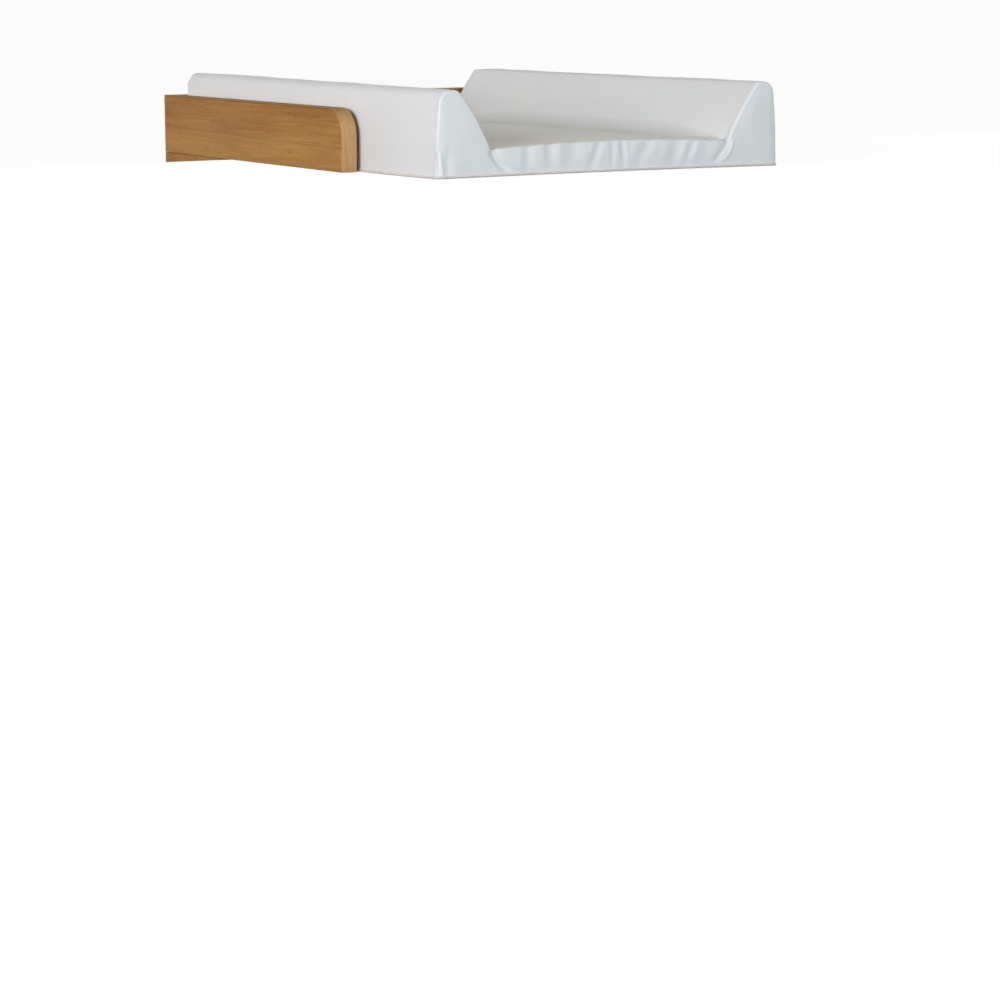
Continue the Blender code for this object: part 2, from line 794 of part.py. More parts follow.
def set_in(corners, distance):
    """Corners of a chain of straight stretches, each moved to its right-hand side by distance."""
    lines = []
    for one, two in zip(corners, corners[1:]):
        along = (Vector(two) - Vector(one)).normalized()
        side = Vector((along.y, -along.x)) * distance
        lines.append((Vector(one) + side, along))
    moved = [tuple(lines[0][0])]
    for (start, along), (other, toward) in zip(lines, lines[1:]):
        cross = along.x * toward.y - along.y * toward.x
        gap = other - start
        reach = (gap.x * toward.y - gap.y * toward.x) / cross
        moved.append(tuple(start + along * reach))
    end = Vector(corners[-1]) + Vector((lines[-1][1].y, -lines[-1][1].x)) * distance
    return [*moved, tuple(end)]


def bowed(one, two, bulge, share):
    """A point on the way from one to two, pushed out to the left of that way."""
    one, two = Vector(one), Vector(two)
    along = (two - one).normalized()
    out = Vector((-along.y, along.x)) * bulge * 4 * share * (1 - share)
    return tuple(one + (two - one) * share + out)


def half_section(y, inset, floor):
    """Left half of the mat's section at y, from its foot over the bolster to the middle."""
    away = away_from_middle(y) ** CROWN_POWER
    crown = MIDDLE_CROWN + (END_CROWN - MIDDLE_CROWN) * away
    corners = [
        (-half_width_at(y), 0.0),
        (-crest_outer_at(y), MAT_HEIGHT),
        (-crest_inner_at(y), MAT_HEIGHT),
        (-crease_at(y), MATTRESS_THICKNESS),
        (0.0, MATTRESS_THICKNESS),
    ]
    foot, outer, inner, crease, middle = set_in(corners, inset)
    lean_share = (floor - foot[1]) / (outer[1] - foot[1])
    foot = (foot[0] + (outer[0] - foot[0]) * lean_share, floor)
    outer_radius = max(CREST_LEAST_RADIUS, CREST_OUTER_RADIUS - inset)
    inner_radius = max(CREST_LEAST_RADIUS, CREST_INNER_RADIUS - inset)
    outer_arc = fillet(foot, outer, inner, outer_radius, CREST_OUTER_STEPS)
    inner_arc = fillet(outer, inner, crease, inner_radius, CREST_INNER_STEPS)
    crease_arc = fillet(inner, crease, middle, CREASE_RADIUS + inset, CREASE_STEPS)
    points = [foot, bowed(foot, outer_arc[0], SIDE_BULGE, 0.5), *outer_arc, *inner_arc]
    points += [bowed(inner_arc[-1], crease_arc[0], SLOPE_BULGE, 0.5), *crease_arc]
    edge = crease_arc[-1]
    for step in range(1, MATTRESS_STEPS + 1):
        x = edge[0] * (1 - step / MATTRESS_STEPS)
        rise = crown * (1 - (x / edge[0]) ** CROWN_POWER)
        points.append((x, edge[1] + rise))
    return points


def mat_stations(skin, back_skin):
    """(y, inset) of each cross-section, front to back: closer toward the ends, which round over."""
    radius = END_ROUND_RADIUS - skin
    front, back = mat_front + skin, mat_back - back_skin
    angles = [math.pi / 2 * i / END_ROUND_STEPS for i in range(END_ROUND_STEPS + 1)]
    rounding = [(radius * (1 - math.cos(a)), skin + radius * (1 - math.sin(a))) for a in angles]
    first, last = front + radius, back - radius
    stations = [(front + run, inset) for run, inset in rounding]
    for count in range(1, MAT_MIDDLE_STATIONS + 1):
        swing = math.pi * count / (MAT_MIDDLE_STATIONS + 1)
        stations.append((first + (last - first) * (1 - math.cos(swing)) / 2, skin))
    return stations + [(back - run, inset) for run, inset in reversed(rounding)]


def mat_loft(name, skin, back_skin):
    """The whole mat as one closed form, its skin set in by the given thickness.

    The sides twist a little, so each patch is split on the same diagonal in every skin.
    """
    def build(bm):
        rings = []
        for y, inset in mat_stations(skin, back_skin):
            half = half_section(y, inset, skin)
            ring = half + [(-x, z) for x, z in reversed(half[:-1])]
            rings.append([bm.verts.new((x, y, z)) for x, z in ring])
        for one, two in zip(rings, rings[1:]):
            for i in range(len(one)):
                j = (i + 1) % len(one)
                if i < len(one) // 2:
                    bm.faces.new((one[i], one[j], two[j]))
                    bm.faces.new((one[i], two[j], two[i]))
                else:
                    bm.faces.new((one[i], one[j], two[i]))
                    bm.faces.new((one[j], two[j], two[i]))
        bm.faces.new(rings[0])
        bm.faces.new(rings[-1])
    return mesh_from(name, build)


def plan_outline(skin):
    """The mat's outline seen from above, set in by skin, as a closed loop."""
    side = [(half_width_at(y) - inset, y) for y, inset in mat_stations(skin, skin)]
    return side + [(-x, y) for x, y in reversed(side)]


def build_cover_panels():
    """Top panel, and the two end panels that are sewn to it at the rounded end edges."""
    cavity = cutter("cut_cover_inside", mat_loft("cut_cover_inside", COVER_THICKNESS, COVER_THICKNESS))
    wide = mat_half_width + BACK_SPREAD + OVERRUN
    floor, roof = side_seam_height, MAT_HEIGHT + OVERRUN
    front_seam, back_seam = mat_front + END_SEAM_SETBACK, mat_back - END_SEAM_SETBACK
    half_gap = FIT_GAP / 2
    stretches = {
        "cover_front": (mat_front - OVERRUN, front_seam - half_gap),
        "cover_top": (front_seam + half_gap, back_seam - half_gap),
        "cover_back": (back_seam + half_gap, mat_back + OVERRUN),
    }
    for name, (start, end) in stretches.items():
        panel = place(name, mat_loft(name, 0.0, 0.0), cover_cloth)
        boolean(panel, box_cutter(f"cut_{name}", (-wide, start, floor), (wide, end, roof)), "INTERSECT")
        boolean(panel, cavity, "DIFFERENCE")
        if name == "cover_back":
            boolean(panel, zip_slot(), "DIFFERENCE")
        smooth(panel)


def build_cover_base():
    outline = plan_outline(foam_skin)
    flat = Matrix.Translation((0.0, 0.0, COVER_THICKNESS / 2))
    place("cover_base", outline_mesh("cover_base", outline, COVER_THICKNESS, flat), base_cloth)


def build_welt():
    path = [(x, y, WELT_RADIUS) for x, y in plan_outline(welt_skin)]
    smooth(place("cover_welt", tube_mesh("cover_welt", path, WELT_RADIUS, 2), welt_cloth))


def wedge_room(name, side, spare):
    """All that lies above the slab and outward of a crease, with spare more on both."""
    floor, top = MATTRESS_THICKNESS - foam_skin - spare, MAT_HEIGHT + OVERRUN
    ends = (mat_front - OVERRUN, mat_back + OVERRUN)
    places = [ends[0], *(y for y, _ in mat_stations(foam_skin, foam_back_skin)), ends[1]]
    wide = side * (mat_half_width + BACK_SPREAD + OVERRUN)
    outline = [(side * (crease_at(y) - spare), y) for y in places]
    outline += [(wide, ends[1]), (wide, ends[0])]
    middle = Matrix.Translation((0.0, 0.0, (floor + top) / 2))
    return cutter(name, outline_mesh(name, outline, top - floor, middle))


def build_foam():
    """A flat slab with a wedge glued along each side of it."""
    slab = place("foam_mattress", mat_loft("foam_mattress", foam_skin, foam_back_skin), foam)
    for name, side in (("left", -1), ("right", 1)):
        core = mat_loft("core", foam_skin, foam_back_skin)
        wedge = place(f"foam_bolster_{name}", core, foam)
        boolean(wedge, wedge_room(f"cut_wedge_{name}", side, 0.0), "INTERSECT")
        boolean(slab, wedge_room(f"cut_slab_{name}", side, FIT_GAP), "DIFFERENCE")


# Zip

def zip_slot():
    """The gap in the back panel that the coils and the slider fill."""
    half = ZIP_LENGTH / 2 + STOP_LENGTH + 2 * FIT_GAP
    tall = slider_half_height + SLOT_CLEARANCE
    low = (-half, mat_back - COVER_THICKNESS - OVERRUN, ZIP_HEIGHT - tall)
    return box_cutter("cut_zip_slot", low, (half, mat_back + OVERRUN, ZIP_HEIGHT + tall))


def build_tapes():
    half = ZIP_LENGTH / 2 + TAPE_TAIL
    for name, side in (("upper", 1), ("lower", -1)):
        near = ZIP_HEIGHT + side * FIT_GAP / 2
        low_z, high_z = sorted((near, near + side * TAPE_WIDTH))
        low = (-half, tape_outer_y - TAPE_THICKNESS, low_z)
        strip = box_mesh(f"zip_tape_{name}", low, (half, tape_outer_y, high_z))
        place(f"zip_tape_{name}", strip, tape_cloth)


def coil_outline(side):
    """One row: a spine with teeth that reach between those of the other row."""
    pitch, half = COIL_PITCH, ZIP_LENGTH / 2
    count = int(ZIP_LENGTH / pitch)
    tooth = pitch / 2 - FIT_GAP
    shift = 0.0 if side > 0 else pitch / 2
    first = -count * pitch / 2 + shift + FIT_GAP / 2
    root = side * COIL_MESH / 2
    tip = -side * (COIL_MESH / 2 - FIT_GAP)
    points = [(-half, root)]
    for number in range(count):
        start = first + number * pitch
        points += [(start, root), (start, tip), (start + tooth, tip), (start + tooth, root)]
    points += [(half, root), (half, side * coil_half_height), (-half, side * coil_half_height)]
    return points


def build_coils():
    middle = (coil_inner_y + coil_outer_y) / 2
    plane = upright_back(middle) @ Matrix.Translation((0.0, ZIP_HEIGHT, 0.0))
    for name, side in (("upper", 1), ("lower", -1)):
        mesh = outline_mesh("coil", coil_outline(side), COIL_DEPTH, plane)
        place(f"zip_coil_{name}", mesh, coil_plastic)


def build_stops():
    for name, side in (("left", -1), ("right", 1)):
        near = side * (ZIP_LENGTH / 2 + FIT_GAP)
        low_x, high_x = sorted((near, near + side * STOP_LENGTH))
        low = (low_x, coil_inner_y, ZIP_HEIGHT - coil_half_height)
        high = (high_x, coil_outer_y + FIT_GAP, ZIP_HEIGHT + coil_half_height)
        bevel(place(f"zip_stop_{name}", box_mesh("stop", low, high), zinc), STOP_EDGE_ROUND)


def build_slider():
    """The slider's outer plate with its two flanges, and the arch that carries the pull."""
    x, z, long = slider_rest_x, ZIP_HEIGHT, SLIDER_LENGTH / 2
    nose = SLIDER_NOSE
    tall = slider_half_height
    depth = slider_plate_y + SLIDER_PLATE - coil_inner_y
    outline = [
        (-long, -tall),
        (long - nose, -tall),
        (long, -tall + nose / 2),
        (long, tall - nose / 2),
        (long - nose, tall),
        (-long, tall),
    ]
    plane = upright_back(coil_inner_y + depth / 2) @ Matrix.Translation((0.0, z, 0.0))
    mesh = outline_mesh("zip_slider", outline, depth, plane)
    slider = place("zip_slider", mesh, zinc)
    slider.location = (x, 0.0, 0.0)
    run = coil_half_height + FIT_GAP
    reach = long + OVERRUN
    channel = box_cutter("cut_slider_channel", (x - reach, coil_inner_y - OVERRUN, z - run),
                        (x + reach, slider_plate_y, z + run))
    boolean(slider, channel, "DIFFERENCE")
    foot = slider_plate_y + SLIDER_PLATE
    arch = box_cutter("arch", (x - ARCH_HALF_SPAN, foot - SLIDER_PLATE / 2, z - ARCH_WIDTH / 2),
                     (x + ARCH_HALF_SPAN, foot + ARCH_OPENING + ARCH_BAR, z + ARCH_WIDTH / 2))
    boolean(slider, arch, "UNION")
    inner = ARCH_HALF_SPAN - ARCH_BAR
    window = box_cutter("cut_arch_window", (x - inner, foot, z - ARCH_WIDTH),
                       (x + inner, foot + ARCH_OPENING, z + ARCH_WIDTH))
    boolean(slider, window, "DIFFERENCE")


def build_pull():
    """A short tab with a window near its root; the bar beside the window turns under the arch."""
    bar = PULL_THICKNESS / 2
    window_half = ARCH_WIDTH / 2 + 2 * FIT_GAP
    half = window_half + PULL_ARM
    tip = PULL_TIP_RADIUS
    outline = [
        (-bar, -half),
        *arc((pull_reach - tip, -half + tip), tip, 270, 360, TIP_STEPS),
        *arc((pull_reach - tip, half - tip), tip, 0, 90, TIP_STEPS),
        (-bar, half),
    ]
    plane = Matrix(((1, 0, 0, 0), (0, 0, -1, 0), (0, 1, 0, 0), (0, 0, 0, 1)))
    pull = place("zip_pull", outline_mesh("zip_pull", outline, PULL_THICKNESS, plane), zinc)
    pull.location = (slider_rest_x, pull_axis_y, ZIP_HEIGHT)
    x, y, z = pull.location
    window = box_cutter("cut_pull_window", (x + bar, y - PULL_THICKNESS, z - window_half),
                       (x + bar + PULL_WINDOW, y + PULL_THICKNESS, z + window_half))
    boolean(pull, window, "DIFFERENCE")


clear_scene()
parts = new_collection("dresser_top_changer")
cutters = new_collection("cutters")
cutters.hide_render = True

oak = material("oak_veneer", (0.36, 0.19, 0.075), 0.45)
oak_edge = material("oak_edge_band", (0.52, 0.32, 0.15), 0.50)
beech = material("beech_dowel", (0.62, 0.44, 0.27), 0.60)
steel = material("zinc_plated_screw", (0.62, 0.62, 0.60), 0.35, 1.0)
steel_plate = material("bracket_steel", (0.55, 0.56, 0.57), 0.40, 1.0)
zinc = material("zinc_casting", (0.60, 0.60, 0.61), 0.38, 1.0)
cover_cloth = material("coated_cover", (0.80, 0.81, 0.82), 0.42)
base_cloth = material("cover_underside", (0.70, 0.70, 0.69), 0.60)
welt_cloth = material("cover_welt", (0.82, 0.79, 0.74), 0.50)
tape_cloth = material("zip_tape", (0.78, 0.78, 0.77), 0.75)
coil_plastic = material("zip_coil", (0.80, 0.80, 0.80), 0.45)
foam = material("mat_foam", (0.85, 0.80, 0.62), 0.90)

corner_holes = corner_drillings("cut_corner_holes")
screw_holes = base_drillings()
build_side_boards()
build_back_board()
build_base_panel()
build_dowels()
build_cam_bolts()
build_cam_discs()
build_base_screws()
build_brackets()
build_bracket_screws()
build_foam()
build_cover_panels()
build_cover_base()
build_welt()
build_tapes()
build_coils()
build_stops()
build_slider()
build_pull()
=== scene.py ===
"""Looks of the changing top: an oak frame and the coated, foam-filled mat that lies in it."""

import math

import bmesh
import bpy
import numpy as np
from mathutils import Matrix, Vector, noise
from mathutils.kdtree import KDTree


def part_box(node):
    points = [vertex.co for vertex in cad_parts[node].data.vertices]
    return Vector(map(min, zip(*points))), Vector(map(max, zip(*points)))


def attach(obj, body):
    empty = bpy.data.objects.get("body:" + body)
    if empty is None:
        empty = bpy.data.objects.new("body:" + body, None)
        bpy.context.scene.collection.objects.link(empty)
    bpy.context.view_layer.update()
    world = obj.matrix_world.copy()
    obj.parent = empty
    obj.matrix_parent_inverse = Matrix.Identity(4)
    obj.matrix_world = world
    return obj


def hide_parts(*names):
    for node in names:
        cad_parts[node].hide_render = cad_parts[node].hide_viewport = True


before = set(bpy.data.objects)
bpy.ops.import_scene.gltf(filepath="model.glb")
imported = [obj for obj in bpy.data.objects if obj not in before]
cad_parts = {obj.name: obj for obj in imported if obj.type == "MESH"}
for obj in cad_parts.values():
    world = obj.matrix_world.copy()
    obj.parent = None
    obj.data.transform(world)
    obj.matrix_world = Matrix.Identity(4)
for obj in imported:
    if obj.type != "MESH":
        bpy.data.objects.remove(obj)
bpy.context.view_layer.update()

# Camera, fitted to the photograph: place in metres, angles in degrees
CAMERA_PLACE = (-2.12233, -3.83687, 0.25768)
CAMERA_YAW = 30.530
CAMERA_PITCH = -9.972
CAMERA_ROLL = -0.190
CAMERA_LENS = 108.05
CAMERA_SENSOR = 36.0

# Stage: a pale step that carries the frame's front, and a lower floor behind it
STEP_HALF_WIDTH = 4.0
STEP_FRONT = -6.0
STEP_TOP = -0.0002
WHITE_LEVEL = 0.97
STEP_HEIGHT = 0.120
FLOOR_BACK = 6.0

# Mat sizes in metres, as the solids have them; the rest is read from the solids' boxes
MAT_SIDE_GAP = 0.0055
CREST_WIDTH = 0.037
FOOT_WIDTH = 0.089
SIDE_LEAN = 0.0045
SIDE_BULGE = 0.0015
SLOPE_BULGE = 0.0020
FRONT_DRAW_IN = 0.010
BACK_SPREAD = 0.0025
BACK_SWELL = 0.022
CREST_INNER_RADIUS = 0.010
CREST_LEAST_RADIUS = 0.0008
MATTRESS_THICKNESS = 0.036
END_CROWN = 0.006
MIDDLE_CROWN = 0.010
# How steeply the plan draws in at the front and spreads at the back
DRAW_IN_POWER = 3

# Edges, seams, cloths and coils of the sewn cover, in metres
SEAM_HEIGHT = 0.0038
CREST_OUTER_RADIUS = 0.0155
CREST_OUTER_BACK_RADIUS = 0.020
CREST_BACK_RADIUS = 0.005
CREASE_RADIUS = 0.040
CREASE_END_RADIUS = 0.004
CREASE_OPENS_OVER = 0.140
END_ROUND_RADIUS = 0.0036
END_SEAM_SETBACK = 0.0042
END_BULGE = 0.0010
END_BULGE_REACH = 0.020
END_BULGE_SIDE_SHARE = 0.7
PANEL_THICKNESS = 0.00096
ZIP_SLOT_SPARE = 0.0006
UNDERSIDE_INSET = 0.0015
UNDERSIDE_THICKNESS = 0.0005
WELT_RADIUS = 0.0021
WELT_SET_IN = 0.0006
WELT_STITCH = 0.0048
WELT_WAVE_SPACING = 0.030
COIL_PITCH = 0.0020
COIL_THREAD = 0.00028
# Shares of the piping's radius: its middle value, its change at each stitch and in slow waves
WELT_SHARES = (0.96, 0.035, 0.05)
# Shares of the solids: how high the underside lies in its own, how thick the tapes are
UNDERSIDE_LEVEL = 0.75
TAPE_THICKNESS_SHARE = 0.6

# How the meshes are laid out; a seam row is a distance from the seam and how far it dips
ROW_SPACING = 0.0050
BAND_ROWS = (0.0026, 0.0040, 0.0064, 0.0098, 0.0134, 0.0170, 0.0200)
SIDE_STEPS = 15
CREST_OUTER_STEPS = 7
CREST_STEPS = 3
CREST_INNER_STEPS = 5
SLOPE_STEPS = 15
CREASE_STEPS = 11
TOP_STEPS = 34
FACE_STEPS = 14
SEAM_ROWS = ((0.00010, 0.0002), (0.00030, 0.00008), (0.0005, 0.00002))
NEAR_ROWS = (0.0018, 0.0034, 0.0052, 0.0072)
EDGE_ROWS = (0.0006, 0.0020)
END_TURNS = (90, 75, 60, 45, 30, 15, 0)
UNDERSIDE_ROWS, UNDERSIDE_COLUMNS = 60, 48
TAPE_ROWS, TAPE_COLUMNS = 10, 220
COIL_STEPS = 12

# How the mat lies and its foam gives way: its front end is a little askew, its hem lifts in the
# middle, its crests sink, rise or lean, and its back end spills toward the boards
SKEW_SHARE = -0.0165
SKEW_REACH = 0.30
HEM_LIFT = 0.0012
HEM_LIFT_DEPTH = 0.05
RIGHT_FOOT_SPREAD = 0.0016
BACK_SPILL = 0.0040
SIDE_SPILL = 0.0018
BACK_SPILL_REACH = 0.10
LEFT_FRONT_CREST_IN = 0.0045
LEFT_FRONT_CREST_FROM = 0.1
LEFT_CORNER_IN = 0.0028
LEFT_CORNER_REACH = 0.10
# Both front corners fall back a little: by how much, and how far in across and along
CORNER_FALL = (0.0012, 0.0065, 0.015)
# How far the crests sink at the front end and at the back end
LEFT_CREST_DROP = (0.0012, 0.0)
RIGHT_CREST_DROP = (0.0, 0.0018)
CREST_DROP_REACH = 0.34
# How far the crests' inner and outer edges rise at the back end, and over what length
LEFT_BACK_RISE = (-0.0013, 0.0027, 0.22)
RIGHT_BACK_RISE = (0.0004, 0.0, 0.045)
BACK_RISE_FULL_SHARE = 0.2

# Cloth simulation of the cover: how far the seams hold it, how much the foam grips it, its push
CLOTH_FRAMES = 20
CLOTH_QUALITY = 4
CLOTH_MASS = 0.15
CLOTH_STIFFNESS = 12.0
CLOTH_SHEAR_STIFFNESS = 6.0
CLOTH_HELD_REACH = 0.040
CLOTH_FOAM_GRIP = 0.15
CLOTH_PRESSURE = 1.2
CLOTH_CAP = 0.0020

# Gathers down the front of the mattress: place across, half width, depth, slant
GATHERS = (
    (-0.127, 0.0062, 0.0009, 0.05),
    (-0.093, 0.0070, 0.0010, 0.00),
    (-0.059, 0.0095, 0.0010, 0.00),
    (-0.022, 0.0050, 0.0008, -0.36),
    (0.0015, 0.0036, 0.0007, 0.00),
    (0.0170, 0.0034, 0.0008, 0.10),
    (0.051, 0.0078, 0.0009, -0.45),
    (0.099, 0.0085, 0.0009, -0.25),
    (0.122, 0.0050, 0.0007, -0.40),
    (0.147, 0.0080, 0.0004, -0.40),
)
# They grow and fade between these distances down the face, and end before the wedges
GATHERS_GROW = (-0.014, 0.006)
GATHERS_FADE = (0.014, 0.036)
GATHERS_FADE_SHARE = 0.65
GATHERS_PLACED_AT = 0.012
GATHERS_END = (0.018, 0.004)
# Each gather has a low ridge on either side: height, place and width against the gather's own
GATHER_RIDGE = (0.45, 1.9, 0.8)
# Folds where each wedge meets the mattress: top x, slant, bend, height, half widths left and right
PULLED_FOLDS = (
    (-0.1790, 0.0, 23.6, -0.0036, 0.0048, 0.0080),
    (0.1827, -0.75, 0.0, -0.0016, 0.0055, 0.0045),
    (0.1886, 0.0, -20.0, 0.0009, 0.0028, 0.0028),
)
PULLED_FOLDS_GROW = (-0.004, 0.003)
PULLED_FOLDS_FADE = (0.022, 0.035)
# Slack cloth behind the mattress' front edge: its place, then height and half widths across and
# along, and the same for the dip in front of it, which lies so far ahead
SLACK_PLACE = (0.146, 0.030)
SLACK_SWELL = (0.0034, 0.026, 0.011)
SLACK_DIP = (0.0020, 0.040, 0.006)
SLACK_DIP_AHEAD = 0.017
# Wrinkles along the creases: how far out of them, reach, height, spacing
CREASE_PULLS = (0.008, 0.013, 0.0004, 0.017)
# Puckers over the hem and along the end seams: reach, height, spacing
HEM_PULLS = (0.011, 0.00038, 0.015)
SEAM_PULLS = (0.005, 0.00025, 0.009)
# Slow unevenness: height and spacing of each
SOFT_WAVES = ((0.00045, 0.095), (0.00018, 0.034))
UNDERSIDE_WAVES = (0.00025, 0.030)
UNDERSIDE_WAVES_FROM = 0.02
TAPE_WAVES = (0.00010, 0.012)
# The left front corner's twin fold: height, place behind the corner, spread at the foot and
# above, width; then the valley between the folds, and the heights where they grow and fade
TWIN_FOLD = (0.0010, -0.0020, 0.0062, 0.0030, 0.0015)
TWIN_FOLD_VALLEY = 1.1
TWIN_FOLD_RIDGE_WIDTH = 1.3
TWIN_FOLD_NARROWS = (0.002, 0.036)
TWIN_FOLD_GROWS = (0.001, 0.006)
TWIN_FOLD_FADES = (0.026, 0.042)
# The dent beside it on the front: place behind the corner, half width, depth against the fold
CORNER_DENT = (-0.0165, 0.0055, 0.9)

# Wood tones, light and dark
OAK_LIGHT = (0.500, 0.244, 0.050)
OAK_DARK = (0.340, 0.132, 0.015)

# Light: levels and tints of the sky low and high, the heights between which it changes, its
# tint toward the back; then the two lamps' place, size, power in watts and tint
SKY_LOW = (0.71, (0.99, 1.0, 1.01))
SKY_HIGH = (0.07, (1.0, 0.96, 0.88))
SKY_RISE = (0.10, 0.70)
SKY_BACK_TINT = (1.0, 0.97, 0.92)
SKY_BACK_SPAN = (-0.2, 0.5)
LAMPS_AIM = (0.0, -0.2, 0.05)
KEY_LAMP = ((-3.62, -1.85, 0.92), (2.4, 1.4), 96.0, (0.98, 0.985, 1.0))
FILL_LAMP = ((0.7, -4.4, 0.75), (2.8, 1.1), 57.0, (0.80, 0.935, 1.0))


# Materials

class Nodes:
    """A node tree and short calls that add nodes to it."""

    def __init__(self, tree):
        self.tree = tree

    def add(self, kind, inputs=None, **settings):
        node = self.tree.nodes.new("ShaderNode" + kind)
        for key, value in settings.items():
            setattr(node, key, value)
        for key, value in (inputs or {}).items():
            if isinstance(value, bpy.types.NodeSocket):
                self.tree.links.new(value, node.inputs[key])
            else:
                node.inputs[key].default_value = value
        return node

    def math(self, operation, one, two=0.0, three=0.0):
        return self.add("Math", {0: one, 1: two, 2: three}, operation=operation).outputs[0]

    def span(self, value, low, high, to_low=0.0, to_high=1.0):
        inputs = {0: value, 1: low, 2: high, 3: to_low, 4: to_high}
        return self.add("MapRange", inputs).outputs[0]

    def mix(self, share, one, two, kind="MIX"):
        node = self.add("Mix", {0: share, 6: one, 7: two}, data_type="RGBA", blend_type=kind)
        return node.outputs[2]

    def parts(self, vector):
        return self.add("SeparateXYZ", {0: vector}).outputs

    def seen_plainly(self):
        """1 for rays of the camera, and for mirrored and transmitted ones."""
        ray = self.add("LightPath").outputs
        sent_on = self.math("MAXIMUM", ray["Is Glossy Ray"], ray["Is Transmission Ray"])
        return self.math("MAXIMUM", ray["Is Camera Ray"], sent_on)


class Finish(Nodes):
    """One material: its shader, its textures and what feeds the shader's sockets."""

    def __init__(self, name, **constants):
        self.material = bpy.data.materials.new(name)
        self.material.use_nodes = True
        super().__init__(self.material.node_tree)
        self.shader = self.tree.nodes["Principled BSDF"]
        for socket, value in constants.items():
            self.shader.inputs[socket.replace("_", " ")].default_value = value
        self.place = self.add("TexCoord").outputs["Object"]

    def noise(self, scale, detail=3.0, roughness=0.5, place=None, distortion=0.0):
        """Noise with so many features per metre, or with a number for each axis."""
        place = place or self.place
        if isinstance(scale, tuple):
            place = self.add("Mapping", {"Vector": place, "Scale": scale}).outputs[0]
            scale = 1.0
        inputs = {"Vector": place, "Scale": scale, "Detail": detail, "Roughness": roughness,
                  "Distortion": distortion}
        return self.add("TexNoise", inputs).outputs[0]

    def threads(self, scale):
        """Waves across each of the three axes."""
        inputs = {"Vector": self.place, "Scale": scale}
        return [self.add("TexWave", inputs, bands_direction=axis).outputs[1] for axis in "XYZ"]

    def bump(self, height, distance, strength=1.0, below=None):
        inputs = {"Height": height, "Distance": distance, "Strength": strength}
        if below is not None:
            inputs["Normal"] = below
        return self.add("Bump", inputs).outputs[0]

    def feed(self, **sockets):
        """Links outputs to the shader's sockets, with _ for a space in their names."""
        for socket, output in sockets.items():
            self.tree.links.new(output, self.shader.inputs[socket.replace("_", " ")])
        return self.material


def color(red, green, blue):
    return (red, green, blue, 1.0)


def shade(tone, level):
    return color(*(level * part for part in tone))


def grain_place(finish, along):
    """Coordinates turned so that the grain runs along X."""
    turns = {"X": (0, 0, 0), "Y": (0, 0, math.radians(-90))}
    return finish.add("Mapping", {"Vector": finish.place, "Rotation": turns[along]}).outputs[0]


def oak(name, along, offset, join=None):
    """Oiled oak veneer: broad tones, slanting figure, streaks and short dark pores.

    join is the height at the veneer's middle, and the rise, of the line below which it is lighter.
    """
    f = Finish(name, Roughness=0.5, IOR=1.45, Specular_IOR_Level=0.30)
    shift = f.add("Mapping", {"Vector": grain_place(f, along), "Location": offset}).outputs[0]
    warp = f.noise((2.2, 9.0, 9.0), 2.0, place=shift)
    tone = f.noise((1.4, 16.0, 16.0), 3.0, 0.55, place=shift, distortion=0.4)
    figure = f.noise((3.5, 95.0, 95.0), 4.0, 0.6, place=shift, distortion=1.1)
    streak = f.noise((7.0, 520.0, 520.0), 3.0, 0.6, place=shift)
    pores = f.noise((46.0, 1250.0, 1250.0), 2.0, 0.5, place=shift)
    share = f.math("ADD", f.math("MULTIPLY", tone, 0.50), f.math("MULTIPLY", figure, 0.38))
    share = f.math("ADD", share, f.math("MULTIPLY", warp, 0.12))
    if join:
        parts = f.parts(f.place)
        line = f.math("MULTIPLY_ADD", parts[along], join[1], join[0])
        waver = f.math("MULTIPLY", f.math("SUBTRACT", warp, 0.5), 0.004)
        below = f.math("SUBTRACT", f.math("ADD", line, waver), parts["Z"])
        share = f.math("ADD", share, f.span(below, -0.0012, 0.0012, -0.03, 0.15))
        seam = f.math("COMPARE", below, 0.0, 0.0005)
    base = f.mix(f.span(share, 0.36, 0.64), color(*OAK_DARK), color(*OAK_LIGHT))
    rings = f.noise((1.5, 11.0, 11.0), 1.0, 0.4, place=shift, distortion=0.3)
    rings = f.math("PINGPONG", f.math("MULTIPLY", rings, 17.0), 1.0)
    base = f.mix(f.span(rings, 0.0, 0.50, 0.30, 0.0), base, shade(OAK_DARK, 0.80))
    if join:
        base = f.mix(f.math("MULTIPLY", seam, 0.35), base, shade(OAK_DARK, 0.55))
    base = f.mix(f.span(streak, 0.40, 0.75, 0.0, 0.35), base, shade(OAK_DARK, 0.72))
    pale = f.noise((9.0, 330.0, 330.0), 3.0, 0.55, place=shift)
    base = f.mix(f.span(pale, 0.52, 0.78, 0.0, 0.55), base, shade(OAK_LIGHT, 1.22))
    fleck = f.noise((28.0, 420.0, 420.0), 2.0, 0.5, place=shift)
    base = f.mix(f.span(fleck, 0.60, 0.75, 0.0, 0.25), base, shade(OAK_DARK, 0.65))
    open_pores = f.span(pores, 0.58, 0.68)
    base = f.mix(f.math("MULTIPLY", open_pores, 0.35), base, shade(OAK_DARK, 0.50))
    rough = f.span(figure, 0.3, 0.7, 0.56, 0.46)
    grain = f.bump(streak, 0.00025, 0.35)
    return f.feed(
        Base_Color=base,
        Roughness=f.math("ADD", rough, f.math("MULTIPLY", open_pores, 0.2)),
        Normal=f.bump(f.math("SUBTRACT", 1.0, open_pores), 0.00020, 0.5, grain),
    )


